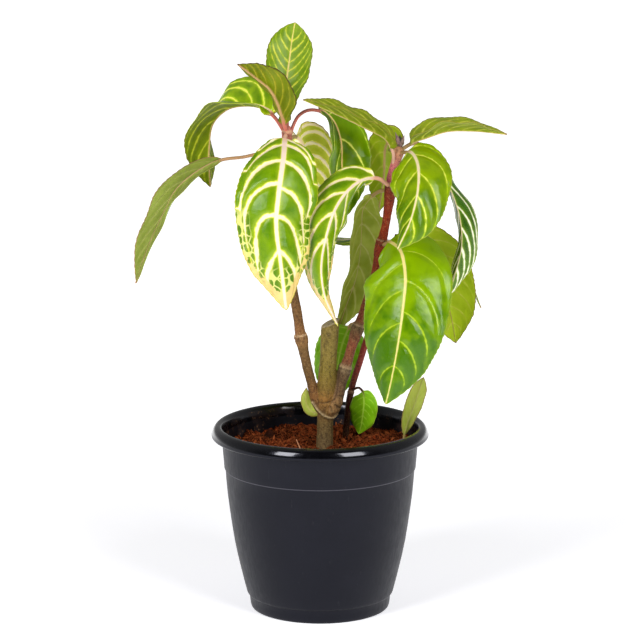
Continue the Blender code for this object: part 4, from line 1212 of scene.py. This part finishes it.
def stem_tones(stem, heights):
    """The stem's colour at heights in mm, with a pale line round each node and a dark one under it."""
    places, codes = zip(*STEM_TONES[stem])
    stops = np.array([srgb(code) for code in codes])
    tones = np.stack([np.interp(heights, places, stops[:, k]) for k in range(3)], axis=-1)
    for height in STEM_NODES[stem]:
        blend(tones, 0.65 * hump(heights - height - 0.6, 0.7), 0xCEAC84)
        blend(tones, 0.55 * hump(heights - height + 1.3, 0.9), 0x402618)
    return tones


def dress_bark(mesh, stems, relief, bare=1.0):
    """Moves the skin out and in as bark does, and gives its tones from the nearest stem."""
    points = read(mesh.vertices, "co").astype(float) / MM
    gaps, heights = zip(*(nearest_on(points, stem) for _, stem in stems))
    best = np.argmin(gaps, axis=0)
    tones = np.zeros((len(points), 3))
    out = np.zeros(len(points))
    for k, (name, _) in enumerate(stems):
        own = best == k
        tones[own] = stem_tones(name, heights[k][own])
        out[own] = bark_relief(points[own], heights[k][own], STEM_NODES[name], relief, bare)
    push_out(mesh, out)
    return points, tones


def stump_with_cut(bm):
    """The stump, cut off aslant at its top."""
    bm.from_mesh(rolled_grid("stump", stem_rings(STUMP, sides=40)))
    point, normal = STUMP_CUT
    cut = bmesh.ops.bisect_plane(bm, geom=[*bm.verts, *bm.edges, *bm.faces], plane_co=Vector(point) * MM,
                                 plane_no=normal, clear_outer=True)
    rim = [e for e in cut["geom_cut"] if isinstance(e, bmesh.types.BMEdge)]
    bmesh.ops.holes_fill(bm, edges=rim, sides=0)


def add_knob(bm, centre, radii):
    place = Matrix.Translation(Vector(centre) * MM) @ Matrix.Diagonal((*radii, 1))
    bmesh.ops.create_icosphere(bm, subdivisions=3, radius=MM, matrix=place)


def from_line(points, line, count, front_to):
    """Distance in mm from each point to a line, seen from the front, and far off for points at the back."""
    places, _ = smooth_path(line, np.linspace(0, 1, count))
    sideways_and_up = places[None, :, ::places.shape[1] - 1]
    seen = np.linalg.norm(points[:, None, ::2] - sideways_and_up, axis=2).min(axis=1)
    return seen + 9 * (points[:, 1] > front_to)


def paint_marks(points, tones):
    """The pale cut face, the knot under it, the clefts with their painted shade and the scar. Gives how far
    the last two stand out.
    """
    point, normal = (np.array(values, float) for values in STUMP_CUT)
    normal /= np.linalg.norm(normal)
    near_cut = step((points - point) @ normal, -0.9, -0.2) * (np.abs(points[:, 0] - point[0]) < 9)
    knot = hump(np.linalg.norm((points - (6.2, -7.4, 206.5)) / (1.7, 3.0, 2.2), axis=1), 1)
    to_scar = from_line(points, SCAR, 60, -1)
    on_scar = hump(to_scar, 0.7)
    in_cleft = np.max([hump(from_line(points, line, 40, -0.5), 0.65) for line in CLEFTS], axis=0)
    blend(tones, 0.5 * hump(to_scar - 1.5, 0.7), 0x3C2C1E)
    # Painted shade along the clefts
    blend(tones, 0.75 * in_cleft, 0x2C1C12)
    blend(tones, near_cut, CUT_TONE)
    blend(tones, 0.7 * knot, 0x3C2E22)
    blend(tones, 0.85 * on_scar, 0xCEB68A)
    return on_scar - 0.7 * in_cleft


class ZEBRA_OT_trunk(bpy.types.Operator):
    """Grows the stump and both branches together as one barked skin, with nodes, callus and scars."""

    bl_idname = "zebra.trunk"
    bl_label = "Trunk"

    def execute(self, context):
        settings = context.scene.zebra_stems
        bm = bmesh.new()
        stump_with_cut(bm)
        bm.from_mesh(rolled_grid("left_branch", stem_rings(LEFT_BRANCH)))
        bm.from_mesh(rolled_grid("right_branch", stem_rings(RIGHT_BRANCH)))
        for centre, radii in KNOBS:
            add_knob(bm, centre, radii)
        obj = add_piece("trunk_bark", mesh_of(bm, "trunk_bark"), "trunk", ())
        remesh = obj.modifiers.new("grown_together", "REMESH")
        remesh.mode = "VOXEL"
        remesh.voxel_size = settings.voxel
        obj.modifiers.new("soft_joints", "SMOOTH").iterations = 3
        keep_evaluated(obj)
        points, tones = dress_bark(obj.data, STEMS, settings.roughness)
        push_out(obj.data, MM * paint_marks(points, tones))
        paint_bark(obj.data, tones)
        obj.data.materials.append(bark_material("bark", 0.62, 0.8))
        obj.data.shade_smooth()
        return {"FINISHED"}


class ZEBRA_OT_thin_stem(bpy.types.Operator):
    """Builds the slim red-brown stem that stands behind the trunk."""

    bl_idname = "zebra.thin_stem"
    bl_label = "Thin stem"

    def execute(self, context):
        settings = context.scene.zebra_stems
        mesh = rolled_grid("thin_stem_bark", stem_rings(THIN_STEM, spacing=0.6, sides=32))
        _, tones = dress_bark(mesh, (("thin", THIN_STEM),), 0.5 * settings.roughness, 0.7)
        paint_bark(mesh, tones)
        bark = bark_material("young_bark", 0.42, 0.3)
        add_piece("thin_stem_bark", mesh, "thin_stem", (bark,))
        return {"FINISHED"}


# The closed bud at the right branch's tip
def leaflet_rings(tip, half, facing):
    """Rings round a small pointed leaf that is folded along its middle."""
    rows, sides = 26, 20
    base, tip, facing = (np.array(values, float) for values in (BUD_BASE, tip, facing))
    v = np.linspace(0, 1, rows)
    way = tip - base
    along = way / np.linalg.norm(way)
    facing = facing - (facing @ along) * along
    facing /= np.linalg.norm(facing)
    side = np.cross(along, facing)
    centre = base + np.outer(v, way) + np.outer(np.sin(np.pi * v) * 0.6, facing)
    width = half * (0.35 + 0.65 * np.sin(np.pi * np.clip(v + 0.12, 0, 1)) ** 0.8) * (1 - v**3) + 0.08
    turn = np.linspace(0, 2 * np.pi, sides, endpoint=False)[None]
    x = np.cos(turn) * width[:, None]
    thick = np.sin(turn) * (0.18 + 0.45 * (1 - v))[:, None]
    return (centre[:, None] + x[..., None] * side + (thick - 0.55 * np.abs(x))[..., None] * facing) * MM


def bud_material(name, back, edge):
    made, tree, place = new_material(name)
    streaks = place.squeezed(0.25).grain(1500.0, 3.0)
    tone = layered(tree, srgb(back), (streaks.ramp(0.35, 0.65), srgb(edge)))
    return finished(made, (streaks, 0.15 * MM), Base_Color=tone, Roughness=0.5)


class ZEBRA_OT_bud(bpy.types.Operator):
    """Builds the closed bud: three small folded leaves on one base."""

    bl_idname = "zebra.bud"
    bl_label = "Bud"

    def execute(self, context):
        bm = bmesh.new()
        materials = []
        for k, (tip, half, facing, back, edge) in enumerate(BUD_LEAFLETS):
            before = len(bm.faces)
            bm.from_mesh(rolled_grid("leaflet", leaflet_rings(tip, half, facing)))
            mark_faces(bm, before, k)
            materials.append(bud_material(f"bud_scale_{k}", back, edge))
        before = len(bm.faces)
        add_knob(bm, BUD_BASE, (1.7, 1.7, 1.9))
        mark_faces(bm, before, 1)
        mesh = mesh_of(bm, "bud_leaflets")
        mesh.shade_smooth()
        add_piece("bud_leaflets", mesh, "bud", materials)
        return {"FINISHED"}


# The stage
def look_along(obj, way):
    obj.rotation_euler = way.to_track_quat("-Z", "Y").to_euler()


def add_softbox(name, place, size, power):
    data = bpy.data.lights.new(name, "AREA")
    data.shape = "RECTANGLE"
    data.size, data.size_y = size
    data.energy = power
    light = add_object(name, data)
    light.location = place
    look_along(light, Vector(LIT_PLACE) - Vector(place))


def add_camera(scene, settings):
    data = bpy.data.cameras.new("camera")
    data.lens = settings.lens
    data.sensor_width = SENSOR_WIDTH
    data.clip_end = SEES_TO
    camera = add_object("camera", data)
    back = Vector((0, -math.cos(settings.elevation), math.sin(settings.elevation)))
    camera.location = Vector((0, 0, settings.aim)) + back * settings.distance
    look_along(camera, -back)
    scene.camera = camera


def paper_material():
    """White paper that glows a little, more so farther from the plant."""
    made, tree, place = new_material("white_paper")
    away = place.vector("LENGTH", output="Value")
    glow = layered(tree, (0.52, 0.52, 0.54), (away.ramp(0.12, 1.1), (1.0, 1.0, 1.0)))
    return finished(made, Base_Color=(0.92, 0.92, 0.94), Roughness=0.9, Emission_Strength=1.0,
                    Emission_Color=glow)


def light_room(tree, settings):
    """A white room: bright behind the plant, dimmer overhead, and dark on the viewer's side."""
    background = tree.nodes["Background"]
    _, y, z = put(tree, "ShaderNodeTexCoord", output="Generated").axes()
    lit = y.ramp(-0.6, 0.05, settings.front, 1.0) * z.ramp(0.0, 0.12, 1.0, settings.ceiling)
    feed(tree, background.inputs["Color"], (1, 1, 1))
    feed(tree, background.inputs["Strength"], lit * settings.sky)


class ZEBRA_OT_stage(bpy.types.Operator):
    """Lays the white floor, sets the soft studio light and places the camera."""

    bl_idname = "zebra.stage"
    bl_label = "Stage"

    def execute(self, context):
        scene, settings = context.scene, context.scene.zebra_stage
        bm = bmesh.new()
        bmesh.ops.create_grid(bm, x_segments=1, y_segments=1, size=FLOOR_REACH)
        floor = add_object("floor", mesh_of(bm, "floor"))
        floor.data.materials.append(paper_material())
        world = bpy.data.worlds.new("white_room")
        world.use_nodes = True
        light_room(world.node_tree, settings)
        scene.world = world
        scene.view_settings.view_transform = "Standard"
        for name, place, size in SOFTBOXES:
            add_softbox(name, place, size, settings.softbox)
        add_camera(scene, settings)
        return {"FINISHED"}


class ZEBRA_PT_plant(bpy.types.Panel):
    """Lists the pieces of the plant in the sidebar of the 3D view."""

    bl_idname = "ZEBRA_PT_plant"
    bl_label = "Potted Zebra Plant"
    bl_space_type = "VIEW_3D"
    bl_region_type = "UI"
    bl_category = "Zebra Plant"

    def draw(self, context):
        for name in SETTINGS:
            settings = getattr(context.scene, name)
            box = self.layout.box()
            for label in type(settings).__annotations__:
                box.prop(settings, label)
        for operator in OPERATORS:
            self.layout.operator(operator.bl_idname)


SETTINGS = {
    "zebra_pot": ZebraPotSettings, "zebra_stems": ZebraStemSettings, "zebra_leaves": ZebraLeafSettings,
    "zebra_stage": ZebraStageSettings,
}
OPERATORS = (ZEBRA_OT_pot, ZEBRA_OT_soil, ZEBRA_OT_trunk, ZEBRA_OT_thin_stem, ZEBRA_OT_bud, ZEBRA_OT_leaves,
             ZEBRA_OT_stage)


def register():
    for made in (*SETTINGS.values(), *OPERATORS, ZEBRA_PT_plant):
        bpy.utils.register_class(made)
    for name, group in SETTINGS.items():
        setattr(bpy.types.Scene, name, PointerProperty(type=group))


def unregister():
    for name in SETTINGS:
        delattr(bpy.types.Scene, name)
    for made in (ZEBRA_PT_plant, *reversed(OPERATORS), *SETTINGS.values()):
        bpy.utils.unregister_class(made)


def main():
    register()
    bpy.ops.zebra.pot()
    bpy.ops.zebra.soil()
    bpy.ops.zebra.trunk()
    bpy.ops.zebra.thin_stem()
    bpy.ops.zebra.bud()
    bpy.ops.zebra.leaves()
    bpy.ops.zebra.stage()


if __name__ == "__main__":
    main()
